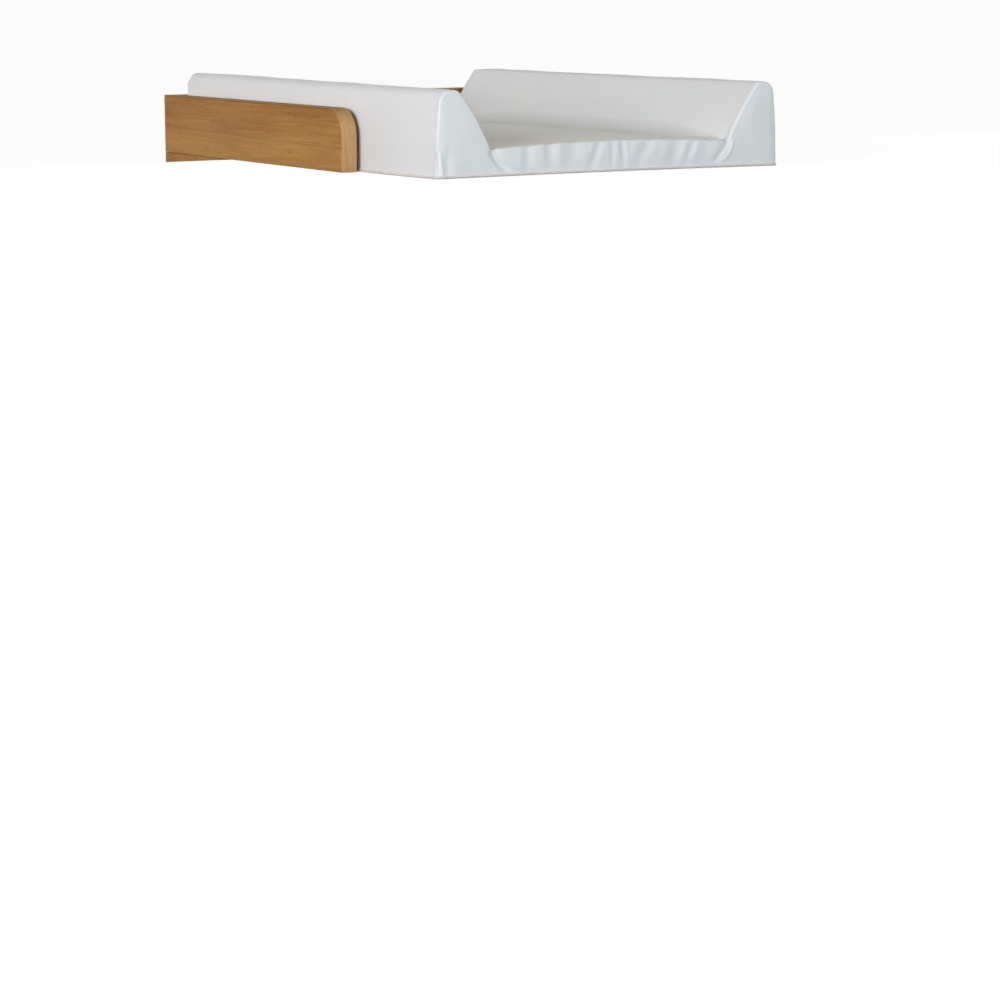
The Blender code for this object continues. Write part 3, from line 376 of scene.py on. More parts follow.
def edge_oak(name, along_is_path):
    """Edge veneer: its grain follows the strip. Painted shade darkens the side bands along their tops,
    so they are lightest at the boards' front ends, and dims the back band all over.
    """
    front_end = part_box("edge_band_left")[0].y
    f = Finish(name, Roughness=0.6, IOR=1.45, Specular_IOR_Level=0.12)
    parts = f.parts(f.place)
    path = f.math("ADD", parts["Y"], parts["Z"]) if along_is_path else parts["X"]
    across = parts["X"] if along_is_path else parts["Y"]
    flat = f.add("CombineXYZ", {0: path, 1: across}).outputs[0]
    tone = f.noise((9.0, 160.0, 1.0), 3.0, 0.6, place=flat, distortion=0.5)
    line = f.noise((16.0, 900.0, 1.0), 3.0, 0.6, place=flat)
    pores = f.noise((70.0, 1700.0, 1.0), 2.0, place=flat)
    base = f.mix(f.span(tone, 0.3, 0.7), color(0.62, 0.360, 0.150), color(0.79, 0.490, 0.225))
    base = f.mix(f.span(line, 0.45, 0.75, 0.0, 0.55), base, color(0.42, 0.22, 0.08))
    if along_is_path:
        # Painted shade: the side bands grow darker along their tops, back from the boards' front ends
        base = f.mix(f.span(parts["Y"], front_end + 0.002, front_end + 0.038, 0.0, 0.75), base,
                     color(0.30, 0.150, 0.050))
    else:
        # Painted shade: the back band is darkened and greyed all over, as it lies in shade between the
        # wedges
        base = f.mix(0.35, base, color(0.36, 0.28, 0.19))
    dark = f.span(pores, 0.60, 0.70, 0.0, 0.5)
    base = f.mix(dark, base, color(0.24, 0.11, 0.04))
    return f.feed(
        Base_Color=base,
        Roughness=f.span(line, 0.3, 0.7, 0.60, 0.70),
        Normal=f.bump(line, 0.0002, 0.4),
    )


def coated_cover(name):
    """White coated cloth: a fine emboss over a faint weave, with painted shade and warm painted bounce
    light on the lying face.
    """
    f = Finish(name, IOR=1.46, Sheen_Weight=0.06, Sheen_Roughness=0.5, Coat_Weight=0.06,
               Coat_Roughness=0.35)
    cloudy = f.noise(11.0, 3.0, 0.55)
    fine = f.noise(900.0, 2.0, 0.6)
    wear = f.noise(75.0, 4.0, 0.65)
    across, along, upright = f.threads(210.0)
    weave = f.math("ADD", across, f.math("ADD", along, upright))
    base = f.mix(f.span(cloudy, 0.35, 0.65), color(0.825, 0.835, 0.845), color(0.855, 0.85, 0.845))
    base = f.mix(f.span(wear, 0.62, 0.80, 0.0, 0.25), base, color(0.79, 0.78, 0.765))
    parts = f.parts(f.place)
    # Painted shade and warm painted bounce light: upward-facing cloth low between the wedges, most
    # toward the left, is darker and warmer
    facing = f.parts(f.add("TexCoord").outputs["Normal"])["Z"]
    lying = f.math("MULTIPLY", f.span(parts["Z"], 0.085, 0.045), f.span(facing, 0.50, 1.0))
    lying = f.math("MULTIPLY", lying, f.span(parts["X"], -0.02, 0.16, 1.0, 0.20))
    base = f.mix(lying, base, color(0.745, 0.708, 0.590))
    pitted = f.bump(fine, 0.00006, 0.35)
    return f.feed(
        Base_Color=base,
        Roughness=f.span(wear, 0.3, 0.7, 0.40, 0.50),
        Normal=f.bump(weave, 0.00004, 0.25, pitted),
    )


def piping(name):
    """The cover's cloth turned over a cord, in a warmer, pinker white than the cover."""
    f = Finish(name, IOR=1.46, Coat_Weight=0.05, Coat_Roughness=0.35)
    cloudy = f.noise(60.0, 3.0)
    fine = f.noise(1500.0, 2.0)
    base = f.mix(f.span(cloudy, 0.3, 0.7), color(0.74, 0.665, 0.635), color(0.79, 0.73, 0.705))
    return f.feed(
        Base_Color=base,
        Roughness=f.span(fine, 0.3, 0.7, 0.42, 0.55),
        Normal=f.bump(fine, 0.00008, 0.4),
    )


def woven(name, thread, light, dark, roughness):
    """Plain woven cloth with threads that are so many per metre."""
    f = Finish(name, IOR=1.45, Sheen_Weight=0.1)
    warp, weft, upright = f.threads(thread)
    cloth = f.math("MAXIMUM", f.math("MULTIPLY", warp, weft), f.math("MULTIPLY", warp, upright))
    base = f.mix(cloth, color(*dark), color(*light))
    cloudy = f.noise(30.0, 3.0)
    return f.feed(
        Base_Color=f.mix(f.span(cloudy, 0.3, 0.7, 0.0, 0.25), base, color(*dark)),
        Roughness=f.span(cloth, 0.0, 1.0, roughness + 0.08, roughness),
        Normal=f.bump(cloth, 0.00012, 0.5),
    )


def metal(name, tint, rough, brushed=(300.0, 300.0, 300.0)):
    """Plated metal: mottled plating with fine marks."""
    f = Finish(name, Metallic=1.0)
    patch = f.noise(140.0, 4.0, 0.6)
    marks = f.noise(brushed, 3.0, 0.6)
    return f.feed(
        Base_Color=f.mix(f.span(patch, 0.35, 0.65), shade(tint, 0.78), color(*tint)),
        Roughness=f.span(marks, 0.3, 0.7, rough - 0.07, rough + 0.1),
        Normal=f.bump(marks, 0.00004, 0.3),
    )


def raw_beech(name):
    f = Finish(name, Roughness=0.6)
    streak = f.noise((60.0, 900.0, 900.0), 3.0)
    fleck = f.noise((300.0, 2500.0, 2500.0), 1.0)
    base = f.mix(f.span(streak, 0.3, 0.7), color(0.55, 0.37, 0.22), color(0.68, 0.50, 0.32))
    return f.feed(
        Base_Color=f.mix(f.span(fleck, 0.6, 0.7, 0.0, 0.5), base, color(0.36, 0.21, 0.11)),
        Normal=f.bump(streak, 0.0002, 0.4),
    )


def monofilament(name):
    f = Finish(name, IOR=1.5)
    cloudy = f.noise(200.0, 2.0)
    return f.feed(
        Base_Color=f.mix(cloudy, color(0.70, 0.70, 0.70), color(0.82, 0.82, 0.82)),
        Roughness=f.span(cloudy, 0.3, 0.7, 0.3, 0.42),
    )


# Meshes

def piece(name, mesh, finish, body, nodes=()):
    """A piece of the object: its finish, the body it rides on and the solids it stands for."""
    obj = bpy.data.objects.new(name, mesh)
    bpy.context.scene.collection.objects.link(obj)
    mesh.materials.clear()
    mesh.materials.append(finish)
    mesh.shade_smooth()
    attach(obj, body)
    if nodes:
        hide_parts(*nodes)
    return obj


def mesh_of(name, points, faces):
    """A mesh from points and faces, its doubles merged and its faces turned outward."""
    mesh = bpy.data.meshes.new(name)
    mesh.from_pydata([tuple(map(float, p)) for p in points], [], faces)
    bm = bmesh.new()
    bm.from_mesh(mesh)
    bmesh.ops.remove_doubles(bm, verts=bm.verts, dist=1e-6)
    bmesh.ops.recalc_face_normals(bm, faces=bm.faces)
    bm.to_mesh(mesh)
    bm.free()
    return mesh


def with_modifiers(mesh, *steps):
    """The mesh after each (kind, settings) modifier."""
    obj = bpy.data.objects.new("work", mesh)
    bpy.context.scene.collection.objects.link(obj)
    for kind, settings in steps:
        modifier = obj.modifiers.new(kind, kind)
        for key, value in settings.items():
            setattr(modifier, key, value)
    bpy.context.view_layer.update()
    graph = bpy.context.evaluated_depsgraph_get()
    made = bpy.data.meshes.new_from_object(obj.evaluated_get(graph))
    bpy.data.objects.remove(obj, do_unlink=True)
    bpy.data.meshes.remove(mesh)
    return made


def points_of(mesh, value="co"):
    """The points' places, or their normals."""
    points = np.empty(len(mesh.vertices) * 3)
    mesh.vertices.foreach_get(value, points)
    return points.reshape(-1, 3)


def set_points(mesh, points):
    mesh.vertices.foreach_set("co", points.astype(np.float32).ravel())
    mesh.update()


def swell(points, spacing, seed):
    """Smooth noise from about -1 to 1 at each point, with hills about spacing apart."""
    shift = Vector((seed * 3.7, seed * 1.9, seed * 5.3))
    return np.array([noise.noise(Vector(p) / spacing + shift) for p in points]) * 2


# The mat's form

mat_half_width = -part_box("side_board_left")[1].x - MAT_SIDE_GAP
mat_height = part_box("cover_top")[1].z
mat_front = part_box("cover_front")[0].y
mat_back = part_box("cover_back")[1].y
mat_length = mat_back - mat_front
crease_x = mat_half_width - FOOT_WIDTH
crest_inner_x = mat_half_width - SIDE_LEAN - CREST_WIDTH


def away_from_middle(y):
    return min(1.0, abs(2 * (y - mat_front) / mat_length - 1))


def front_share(y):
    return np.clip(1 - 2 * (y - mat_front) / mat_length, 0.0, 1.0) ** DRAW_IN_POWER


def back_share(y):
    return np.clip(2 * (y - mat_front) / mat_length - 1, 0.0, 1.0) ** DRAW_IN_POWER


def half_width_at(y):
    return mat_half_width - FRONT_DRAW_IN * front_share(y) + BACK_SPREAD * back_share(y)


def crest_outer_at(y):
    return half_width_at(y) - SIDE_LEAN * (1 - back_share(y))


def crest_inner_at(y):
    return crest_inner_x - BACK_SWELL * back_share(y)


def crease_at(y):
    return crease_x - BACK_SWELL * back_share(y)


def crease_radius_at(y):
    """The cloth bridges the creases softly, and is pulled sharp into them at the two ends."""
    inward = np.clip(min(y - mat_front, mat_back - y) / CREASE_OPENS_OVER, 0.0, 1.0)
    return CREASE_END_RADIUS + (CREASE_RADIUS - CREASE_END_RADIUS) * inward


def crest_radius_at(y):
    """The crests' inner edge is a little sharper at the back end."""
    return CREST_INNER_RADIUS + (CREST_BACK_RADIUS - CREST_INNER_RADIUS) * back_share(y)


def set_in(corners, distance):
    """Corners of a chain of straight stretches, each moved to its right-hand side."""
    lines = []
    for one, two in zip(corners, corners[1:]):
        along = (two - one).normalized()
        lines.append((one + Vector((along.y, -along.x)) * distance, along))
    moved = [lines[0][0]]
    for (start, along), (other, toward) in zip(lines, lines[1:]):
        cross = along.x * toward.y - along.y * toward.x
        gap = other - start
        moved.append(start + along * ((gap.x * toward.y - gap.y * toward.x) / cross))
    along = lines[-1][1]
    return [*moved, corners[-1] + Vector((along.y, -along.x)) * distance]


def fillet(before, corner, after, radius, steps):
    to_before = (before - corner).normalized()
    to_after = (after - corner).normalized()
    half = to_before.angle(to_after) / 2
    center = corner + (to_before + to_after).normalized() * (radius / math.sin(half))
    tangent = radius / math.tan(half)
    first = corner + to_before * tangent - center
    last = corner + to_after * tangent - center
    swing = first.angle_signed(last)
    return [center + Matrix.Rotation(-swing * i / steps, 2) @ first for i in range(steps + 1)]


def bowed(one, two, bulge, shares):
    """Points between one and two at the given shares, pushed out to the left."""
    along = two - one
    out = Vector((-along.y, along.x)).normalized()
    return [one + along * s + out * (bulge * 4 * s * (1 - s)) for s in shares]


def section(y, inset):
    """The mat's section at y, from the left foot over both wedges to the right foot."""
    crown = MIDDLE_CROWN + (END_CROWN - MIDDLE_CROWN) * away_from_middle(y) ** 2
    corners = [
        Vector((-half_width_at(y), 0.0)),
        Vector((-crest_outer_at(y), mat_height)),
        Vector((-crest_inner_at(y), mat_height)),
        Vector((-crease_at(y), MATTRESS_THICKNESS)),
        Vector((0.0, MATTRESS_THICKNESS)),
    ]
    foot, crest, inner, crease, middle = set_in(corners, inset)
    outer = CREST_OUTER_RADIUS + (CREST_OUTER_BACK_RADIUS - CREST_OUTER_RADIUS) * back_share(y)
    outer_radius = max(CREST_LEAST_RADIUS, outer - inset)
    inner_radius = max(CREST_LEAST_RADIUS, crest_radius_at(y) - inset)
    outer_arc = fillet(foot, crest, inner, outer_radius, CREST_OUTER_STEPS)
    inner_arc = fillet(crest, inner, crease, inner_radius, CREST_INNER_STEPS)
    crease_arc = fillet(inner, crease, middle, crease_radius_at(y) + inset, CREASE_STEPS)
    rise = outer_arc[0].y - foot.y
    low = [(z - foot.y) / rise for z in BAND_ROWS]
    shares = low + [low[-1] + (1 - low[-1]) * i / SIDE_STEPS for i in range(1, SIDE_STEPS)]
    points = bowed(foot, outer_arc[0], SIDE_BULGE, shares) + outer_arc
    points += bowed(outer_arc[-1], inner_arc[0], 0.0,
                    [i / CREST_STEPS for i in range(1, CREST_STEPS)])
    points += inner_arc
    points += bowed(inner_arc[-1], crease_arc[0], SLOPE_BULGE,
                    [i / SLOPE_STEPS for i in range(1, SLOPE_STEPS)])
    points += crease_arc
    edge = crease_arc[-1]
    for step in range(1, TOP_STEPS + 1):
        x = edge.x * (1 - step / TOP_STEPS)
        points.append(Vector((x, edge.y + crown * (1 - (x / edge.x) ** 2))))
    return [(p.x, y, p.y) for p in points] + [(-p.x, y, p.y) for p in reversed(points[:-1])]


def end_place(end, distance):
    """y at a distance in from the front end, -1, or the back end, 1."""
    return mat_front + distance if end < 0 else mat_back - distance


def rounding_inset(distance):
    """How far the rounded end has drawn the section in, at a distance from the end's plane."""
    run = max(0.0, END_ROUND_RADIUS - distance)
    return END_ROUND_RADIUS - math.sqrt(END_ROUND_RADIUS ** 2 - run ** 2)


def grid_faces(rows, columns, first=0):
    return [
        (first + r * columns + c, first + r * columns + c + 1,
         first + (r + 1) * columns + c + 1, first + (r + 1) * columns + c)
        for r in range(rows - 1) for c in range(columns - 1)
    ]


def top_panel_mesh():
    """Sides, wedges and lying face in one piece, its two end edges turned into the seams."""
    front = [(mat_front + END_SEAM_SETBACK + gap, dip) for gap, dip in SEAM_ROWS]
    front += [(mat_front + END_SEAM_SETBACK + gap, 0.0) for gap in NEAR_ROWS]
    back = [(mat_back - END_SEAM_SETBACK - gap, dip) for gap, dip in SEAM_ROWS]
    start, stop = front[-1][0], back[-1][0]
    count = round((stop - start) / ROW_SPACING)
    between = [(start + (stop - start) * i / count, 0.0) for i in range(1, count)]
    rings = []
    for y, dip in [*front, *between, *reversed(back)]:
        near = min(y - mat_front, mat_back - y)
        rings.append(section(y, rounding_inset(near) + dip))
    columns = len(rings[0])
    points = [p for ring in rings for p in ring]
    return mesh_of("cover_top", points, grid_faces(len(rings), columns))


def bottom_columns(ring):
    """x of each column of an end face at its foot: even over the wedges, straight down between."""
    low = len(BAND_ROWS) - 1
    top = ring[low:len(ring) - low]
    toe = -crease_at(ring[0][1]) + CREASE_END_RADIUS
    wedge = sum(1 for x, _, _ in top if x < toe)
    left, inner = top[0][0], top[wedge][0]
    share = [left + (inner - left) * i / wedge for i in range(wedge)]
    return share + [p[0] for p in top[wedge:len(top) - wedge]] + [-x for x in reversed(share)]


def end_panel_mesh(end, slot=None):
    """One end of the cover: the turned seam edge, the rounding and the end face."""
    gaps = [(END_SEAM_SETBACK - gap, dip) for gap, dip in SEAM_ROWS]
    gaps += [(END_ROUND_RADIUS * (1 - math.cos(math.radians(turn))), 0.0) for turn in END_TURNS]
    gaps += [(0.0, inset) for inset in EDGE_ROWS]
    rings = [section(end_place(end, distance), rounding_inset(distance) + dip)
             for distance, dip in gaps]
    columns = len(rings[0])
    points = [p for ring in rings for p in ring]
    faces = grid_faces(len(rings), columns)

    ring, first = rings[-1], (len(rings) - 1) * columns
    low = len(BAND_ROWS) - 1
    feet = bottom_columns(ring)
    if slot:
        near = min(range(len(feet)), key=lambda i: abs(feet[i] + slot[0]))
        feet[near], feet[-1 - near] = -slot[0], slot[0]
    y = ring[0][1]
    count = len(feet)

    def face_point(x, z, height):
        """Pushes the end face out where it is far from its edges."""
        depth = min(z - SEAM_HEIGHT, height - z)
        side = half_width_at(y) - END_ROUND_RADIUS - abs(x)
        near = max(0.0, min(depth, side * END_BULGE_SIDE_SHARE))
        out = END_BULGE * (1 - math.exp(-near / END_BULGE_REACH))
        return (x, y + end * out, z)

    index = {}
    for column in range(count):
        for row, z in enumerate(BAND_ROWS):
            if column in (0, count - 1):
                index[row, column] = first + (row if column == 0 else columns - 1 - row)
                continue
            index[row, column] = len(points)
            points.append(face_point(feet[column], z, ring[low + column][2]))
        for step in range(1, FACE_STEPS + 1):
            row = low + step
            top = first + low + column
            if column in (0, count - 1) or step == FACE_STEPS:
                index[row, column] = top
                continue
            x, _, z = ring[low + column]
            share = step / FACE_STEPS
            index[row, column] = len(points)
            spot = (feet[column] + (x - feet[column]) * share,
                    BAND_ROWS[-1] + (z - BAND_ROWS[-1]) * share)
            points.append(face_point(*spot, z))
    for column in range(count - 1):
        over_slot = slot and abs(feet[column] + feet[column + 1]) < 2 * slot[0]
        for row in range(low + FACE_STEPS):
            if over_slot and row < low and slot[1] <= BAND_ROWS[row] < slot[2]:
                continue
            corners = [index[row, column], index[row, column + 1],
                       index[row + 1, column + 1], index[row + 1, column]]
            distinct = list(dict.fromkeys(corners))
            if len(distinct) > 2:
                faces.append(tuple(distinct))
    return mesh_of("cover_end", points, faces)


# Folds and creases

def valley(distance):
    """A narrow valley with a low ridge along each side, 1 deep at its line."""
    q = np.abs(distance)
    height, place, width = GATHER_RIDGE
    return -np.exp(-q ** 2) + height * np.exp(-((q - place) / width) ** 2)


def smooth_step(value, low, high):
    share = np.clip((value - low) / (high - low), 0.0, 1.0)
    return share * share * (3 - 2 * share)


def down_the_front(points):
    """Distance over the mattress' front edge: minus on top, plus down the face."""
    x, y, z = points.T
    top = MATTRESS_THICKNESS + END_CROWN * (1 - (x / crease_x) ** 2)
    turn = mat_front + END_ROUND_RADIUS
    return np.where(y < turn, top - z, turn - y)


def gathers(points):
    """Upright puckers in the front of the mattress, strongest just under its edge."""
    x, down = points[:, 0], down_the_front(points)
    fade = 1 - GATHERS_FADE_SHARE * smooth_step(down, *GATHERS_FADE)
    far, near = GATHERS_END
    within = 1 - smooth_step(np.abs(x), crease_x - far, crease_x - near)
    total = np.zeros(len(points))
    for place, width, depth, slant in GATHERS:
        total += depth * valley((x - place - slant * (down - GATHERS_PLACED_AT)) / width)
    return total * smooth_step(down, *GATHERS_GROW) * fade * within


def pulled_folds(points):
    """The folds down the front where the cloth is pulled in between wedge and mattress."""
    x, down = points[:, 0], down_the_front(points)
    run = np.clip(down, 0.0, None)
    fade = smooth_step(down, *PULLED_FOLDS_GROW) * (1 - smooth_step(down, *PULLED_FOLDS_FADE))
    total = np.zeros(len(points))
    for top_x, slant, bend, height, left_width, right_width in PULLED_FOLDS:
        off = x - (top_x + slant * run + bend * run ** 2)
        width = np.where(off < 0, left_width, right_width)
        total += height * fade * np.exp(-(off / width) ** 2)
    return total


def slack_fold(points):
    """The lens of slack cloth on the lying face, behind the right end of its front edge."""
    x, y = points[:, 0] - SLACK_PLACE[0], points[:, 1] - (mat_front + SLACK_PLACE[1])
    height, across, along = SLACK_SWELL
    depth, dip_across, dip_along = SLACK_DIP
    swelling = height * np.exp(-(x / across) ** 2 - (y / along) ** 2)
    return swelling - depth * np.exp(-(x / dip_across) ** 2 - ((y + SLACK_DIP_AHEAD) / dip_along) ** 2)


def crease_pulls(points):
    """Short wrinkles that run out of the creases between the wedges and the lying face."""
    x, y, _ = points.T
    out, reach, height, spacing = CREASE_PULLS
    near = np.exp(-((np.abs(x) - crease_at(y) + out) / reach) ** 2)
    return height * near * swell(np.column_stack([x * 0.25, y, np.sign(x)]), spacing, seed=3)


def hem_pulls(points):
    """Small puckers just above the piping all the way round."""
    reach, height, spacing = HEM_PULLS
    near = np.exp(-np.clip(points[:, 2] - SEAM_HEIGHT, 0, None) / reach)
    return height * near * swell(points * np.array([1.0, 1.0, 0.15]), spacing, seed=7)


def seam_pulls(points):
    """Tiny puckers across the two end seams, on the side of the long panel."""
    reach, height, spacing = SEAM_PULLS
    behind = np.minimum(points[:, 1] - mat_front, mat_back - points[:, 1]) - END_SEAM_SETBACK
    near = np.exp(-np.abs(behind) / reach) * (behind > -0.5 * END_SEAM_SETBACK)
    return height * near * swell(points * np.array([1.0, 0.1, 1.0]), spacing, seed=11)


def soft_waves(points):
    """Slow unevenness of foam under cloth."""
    return sum(height * swell(points, spacing, seed)
               for seed, (height, spacing) in enumerate(SOFT_WAVES, 1))


def corner_fold(points):
    """The twin fold where the left front corner is drawn down to the piping."""
    x, y, z = points.T
    behind = y - mat_front - (x + half_width_at(mat_front))
    height, place, foot_spread, spread, width = TWIN_FOLD
    apart = foot_spread + (spread - foot_spread) * smooth_step(z, *TWIN_FOLD_NARROWS)
    fold = -TWIN_FOLD_VALLEY * np.exp(-((behind - place) / width) ** 2)
    for side in (-1, 1):
        off = (behind - place - side * apart) / (TWIN_FOLD_RIDGE_WIDTH * width)
        fold += np.exp(-off ** 2)
    dent_place, dent_width, dent_depth = CORNER_DENT
    fold -= dent_depth * np.exp(-((behind - dent_place) / dent_width) ** 2)
    fade = smooth_step(z, *TWIN_FOLD_GROWS) * (1 - smooth_step(z, *TWIN_FOLD_FADES))
    return height * fold * fade * (x < -crest_inner_x)


def settled(points):
    """How the mat lies in the frame, and how its foam has given way."""
    x, y, z = points.T
    moved = points.copy()

    def near_front(reach):
        return 1 - smooth_step(y, mat_front, mat_front + reach)

    tall = np.clip(z / mat_height, 0, 1)
    front = near_front(CREST_DROP_REACH)
    moved[:, 1] += SKEW_SHARE * x * near_front(SKEW_REACH)
    across = np.clip(1 - (x / mat_half_width) ** 2, 0, 1)
    low = 1 - smooth_step(z, 0.0, MATTRESS_THICKNESS)
    moved[:, 2] += HEM_LIFT * near_front(HEM_LIFT_DEPTH) * across * low
    left, right = (rear + (fore - rear) * front for fore, rear in (LEFT_CREST_DROP, RIGHT_CREST_DROP))
    moved[:, 2] -= tall ** 2 * np.where(x < 0, left, right)
    rightward = smooth_step(x, 0.0, mat_half_width)
    moved[:, 0] += RIGHT_FOOT_SPREAD * front * (1 - tall) * rightward

    fall, reach_across, reach_along = CORNER_FALL
    corner = np.exp(-((half_width_at(mat_front) - np.abs(x)) / reach_across) ** 2)
    moved[:, 1] += fall * near_front(reach_along) * corner
    leftmost = 1 - smooth_step(x, -mat_half_width, -crest_inner_x)
    moved[:, 0] += LEFT_CORNER_IN * near_front(LEFT_CORNER_REACH) * leftmost

    behind = smooth_step(y, mat_back - BACK_SPILL_REACH, mat_back)
    behind = behind * smooth_step(z, MATTRESS_THICKNESS, mat_height)
    moved[:, 1] += BACK_SPILL * behind
    moved[:, 0] += SIDE_SPILL * behind * np.sign(x)

    outer_share = smooth_step(np.abs(x), crest_inner_x - BACK_SWELL, mat_half_width)
    inner_left = (1 - outer_share) * (x < -LEFT_FRONT_CREST_FROM)
    moved[:, 0] += LEFT_FRONT_CREST_IN * front * tall * inner_left
    for side, (inner, outer, reach) in ((-1, LEFT_BACK_RISE), (1, RIGHT_BACK_RISE)):
        rise = (inner + (outer - inner) * outer_share) * tall ** 2
        near = smooth_step(y, mat_back - reach, mat_back - BACK_RISE_FULL_SHARE * reach)
        moved[:, 2] += rise * near * (x * side > 0)
    return moved


def sculpted(mesh, *fields):
    """Moves each point along its normal by the sum of the fields."""
    points = points_of(mesh)
    total = sum(field(points) for field in fields)
    set_points(mesh, points + points_of(mesh, "normal") * total[:, None])
    return mesh


def border_distance(mesh, points):
    """How far each point lies from the panel's sewn edges."""
    bm = bmesh.new()
    bm.from_mesh(mesh)
    edge = [v.index for v in bm.verts if v.is_boundary]
    bm.free()
    tree = KDTree(len(edge))
    for count, index in enumerate(edge):
        tree.insert(points[index], count)
    tree.balance()
    return np.array([tree.find(p)[2] for p in points])


def cloth_settled(mesh):
    """The panel after a short cloth simulation: foam pushes it out, and its seams hold it."""
    points = points_of(mesh)
    held = np.clip(1.0 - border_distance(mesh, points) / CLOTH_HELD_REACH, CLOTH_FOAM_GRIP, 1.0)
    obj = bpy.data.objects.new("cloth", mesh)
    bpy.context.scene.collection.objects.link(obj)
    group = obj.vertex_groups.new(name="held")
    for index, weight in enumerate(held):
        group.add([index], float(weight), "REPLACE")
    cloth = obj.modifiers.new("cloth", "CLOTH")
    settings = cloth.settings
    settings.quality = CLOTH_QUALITY
    settings.mass = CLOTH_MASS
    settings.tension_stiffness = CLOTH_STIFFNESS
    settings.compression_stiffness = CLOTH_STIFFNESS
    settings.bending_stiffness = CLOTH_STIFFNESS
    settings.shear_stiffness = CLOTH_SHEAR_STIFFNESS
    settings.use_pressure = True
    settings.uniform_pressure_force = CLOTH_PRESSURE
    settings.effector_weights.gravity = 0.0
    settings.vertex_group_mass = "held"
    cloth.collision_settings.use_collision = False
    cloth.point_cache.frame_start = 1
    cloth.point_cache.frame_end = CLOTH_FRAMES
    for count in range(1, CLOTH_FRAMES + 1):
        bpy.context.scene.frame_set(count)
    graph = bpy.context.evaluated_depsgraph_get()
    made = obj.evaluated_get(graph).to_mesh()
    moved = points_of(made) - points
    obj.evaluated_get(graph).to_mesh_clear()
    bpy.data.objects.remove(obj, do_unlink=True)
    bpy.context.scene.frame_set(1)
    far = np.linalg.norm(moved, axis=1)
    capped = CLOTH_CAP * np.tanh(far / CLOTH_CAP) / np.maximum(far, 1e-9)
    set_points(mesh, points + moved * capped[:, None])
    return mesh


def cover_panel(name, mesh, fields, nodes):
    """Settles and sculpts one panel of the cover, gives it thickness and lays it on the mat."""
    mesh = cloth_settled(mesh)
    smoothing = {"levels": 1, "render_levels": 1, "boundary_smooth": "PRESERVE_CORNERS"}
    mesh = with_modifiers(mesh, ("SUBSURF", smoothing))
    mesh = sculpted(mesh, soft_waves, hem_pulls, seam_pulls, *fields)
    set_points(mesh, settled(points_of(mesh)))
    mesh = with_modifiers(mesh, ("SOLIDIFY", {"thickness": PANEL_THICKNESS, "offset": -1.0}))
    panel = piece(name, mesh, finishes["cover"], "mat", nodes)


def build_cover():
    zip_slot = (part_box("zip_stop_right")[1].x + ZIP_SLOT_SPARE, BAND_ROWS[3], BAND_ROWS[5])
    cover_panel("mat_cover_top", top_panel_mesh(), (slack_fold, crease_pulls, gathers, corner_fold),
                ("cover_top", "foam_mattress", "foam_bolster_left", "foam_bolster_right"))
    cover_panel("mat_cover_front", end_panel_mesh(-1), (gathers, pulled_folds, corner_fold),
                ("cover_front",))
    cover_panel("mat_cover_back", end_panel_mesh(1, zip_slot), (), ("cover_back",))


# Piping, underside and zip

def plan_outline(skin, spacing):
    """The mat's outline seen from above, set in by skin, as an even closed loop."""
    radius = END_ROUND_RADIUS - skin

    def rounded(end):
        corner = []
        for degrees in range(0, 91, 6):
            turn = math.radians(degrees)
            y = end_place(end, skin + radius * (1 - math.cos(turn)))
            corner.append((half_width_at(y) - END_ROUND_RADIUS + radius * math.sin(turn), y))
        return corner

    first, last = mat_front + END_ROUND_RADIUS, mat_back - END_ROUND_RADIUS
    steps = round((last - first) / spacing)
    between = [first + (last - first) * i / steps for i in range(1, steps)]
    side = [*rounded(-1), *((half_width_at(y) - skin, y) for y in between), *reversed(rounded(1))]
    across = round(2 * side[-1][0] / spacing)
    back = [(side[-1][0] * (1 - 2 * i / across), side[-1][1]) for i in range(1, across)]
    front = [(-side[0][0] * (1 - 2 * i / across), side[0][1]) for i in range(1, across)]
    return side + back + [(-x, y) for x, y in reversed(side)] + front


def tube_faces(links, sides):
    """The faces between the two rings of each link, whose points are numbered ring by ring."""
    faces = []
    for i, j in links:
        for k in range(sides):
            m = (k + 1) % sides
            faces.append((i * sides + k, i * sides + m, j * sides + m, j * sides + k))
    return faces


def tube_along(path, radius_at, sides):
    """A closed tube along a closed path of points; radius_at gives its radius by distance run."""
    path = np.array(path)
    ahead, behind = np.roll(path, -1, axis=0), np.roll(path, 1, axis=0)
    along = (ahead - behind) / np.linalg.norm(ahead - behind, axis=1)[:, None]
    out = np.cross(along, (0.0, 0.0, 1.0))
    out /= np.linalg.norm(out, axis=1)[:, None]
    up = np.cross(out, along)
    run = np.concatenate([[0.0], np.cumsum(np.linalg.norm(np.diff(path, axis=0), axis=1))])
    points = []
    for i, spot in enumerate(path):
        radius = radius_at(run[i])
        for k in range(sides):
            turn = 2 * math.pi * k / sides
            points.append(spot + (out[i] * math.cos(turn) + up[i] * math.sin(turn)) * radius)
    return points, tube_faces([(i, (i + 1) % len(path)) for i in range(len(path))], sides)


def build_welt():
    """The piping in the bottom seam, a little uneven at each stitch."""
    path = [(x, y, WELT_RADIUS) for x, y in plan_outline(WELT_SET_IN, WELT_STITCH / 2)]

    def radius_at(run):
        middle, stitch, slow = WELT_SHARES
        stitch *= math.cos(2 * math.pi * run / WELT_STITCH)
        slow *= noise.noise(Vector((run / WELT_WAVE_SPACING, 0.5, 0.5)))
        return WELT_RADIUS * (middle + stitch + slow)

    mesh = mesh_of("mat_welt", *tube_along(path, radius_at, 10))
    points = settled(points_of(mesh))
    points[:, 2] = np.maximum(points[:, 2], 0.0001)
    set_points(mesh, points)
    piece("mat_welt", mesh, finishes["welt"], "mat", ("cover_welt",))


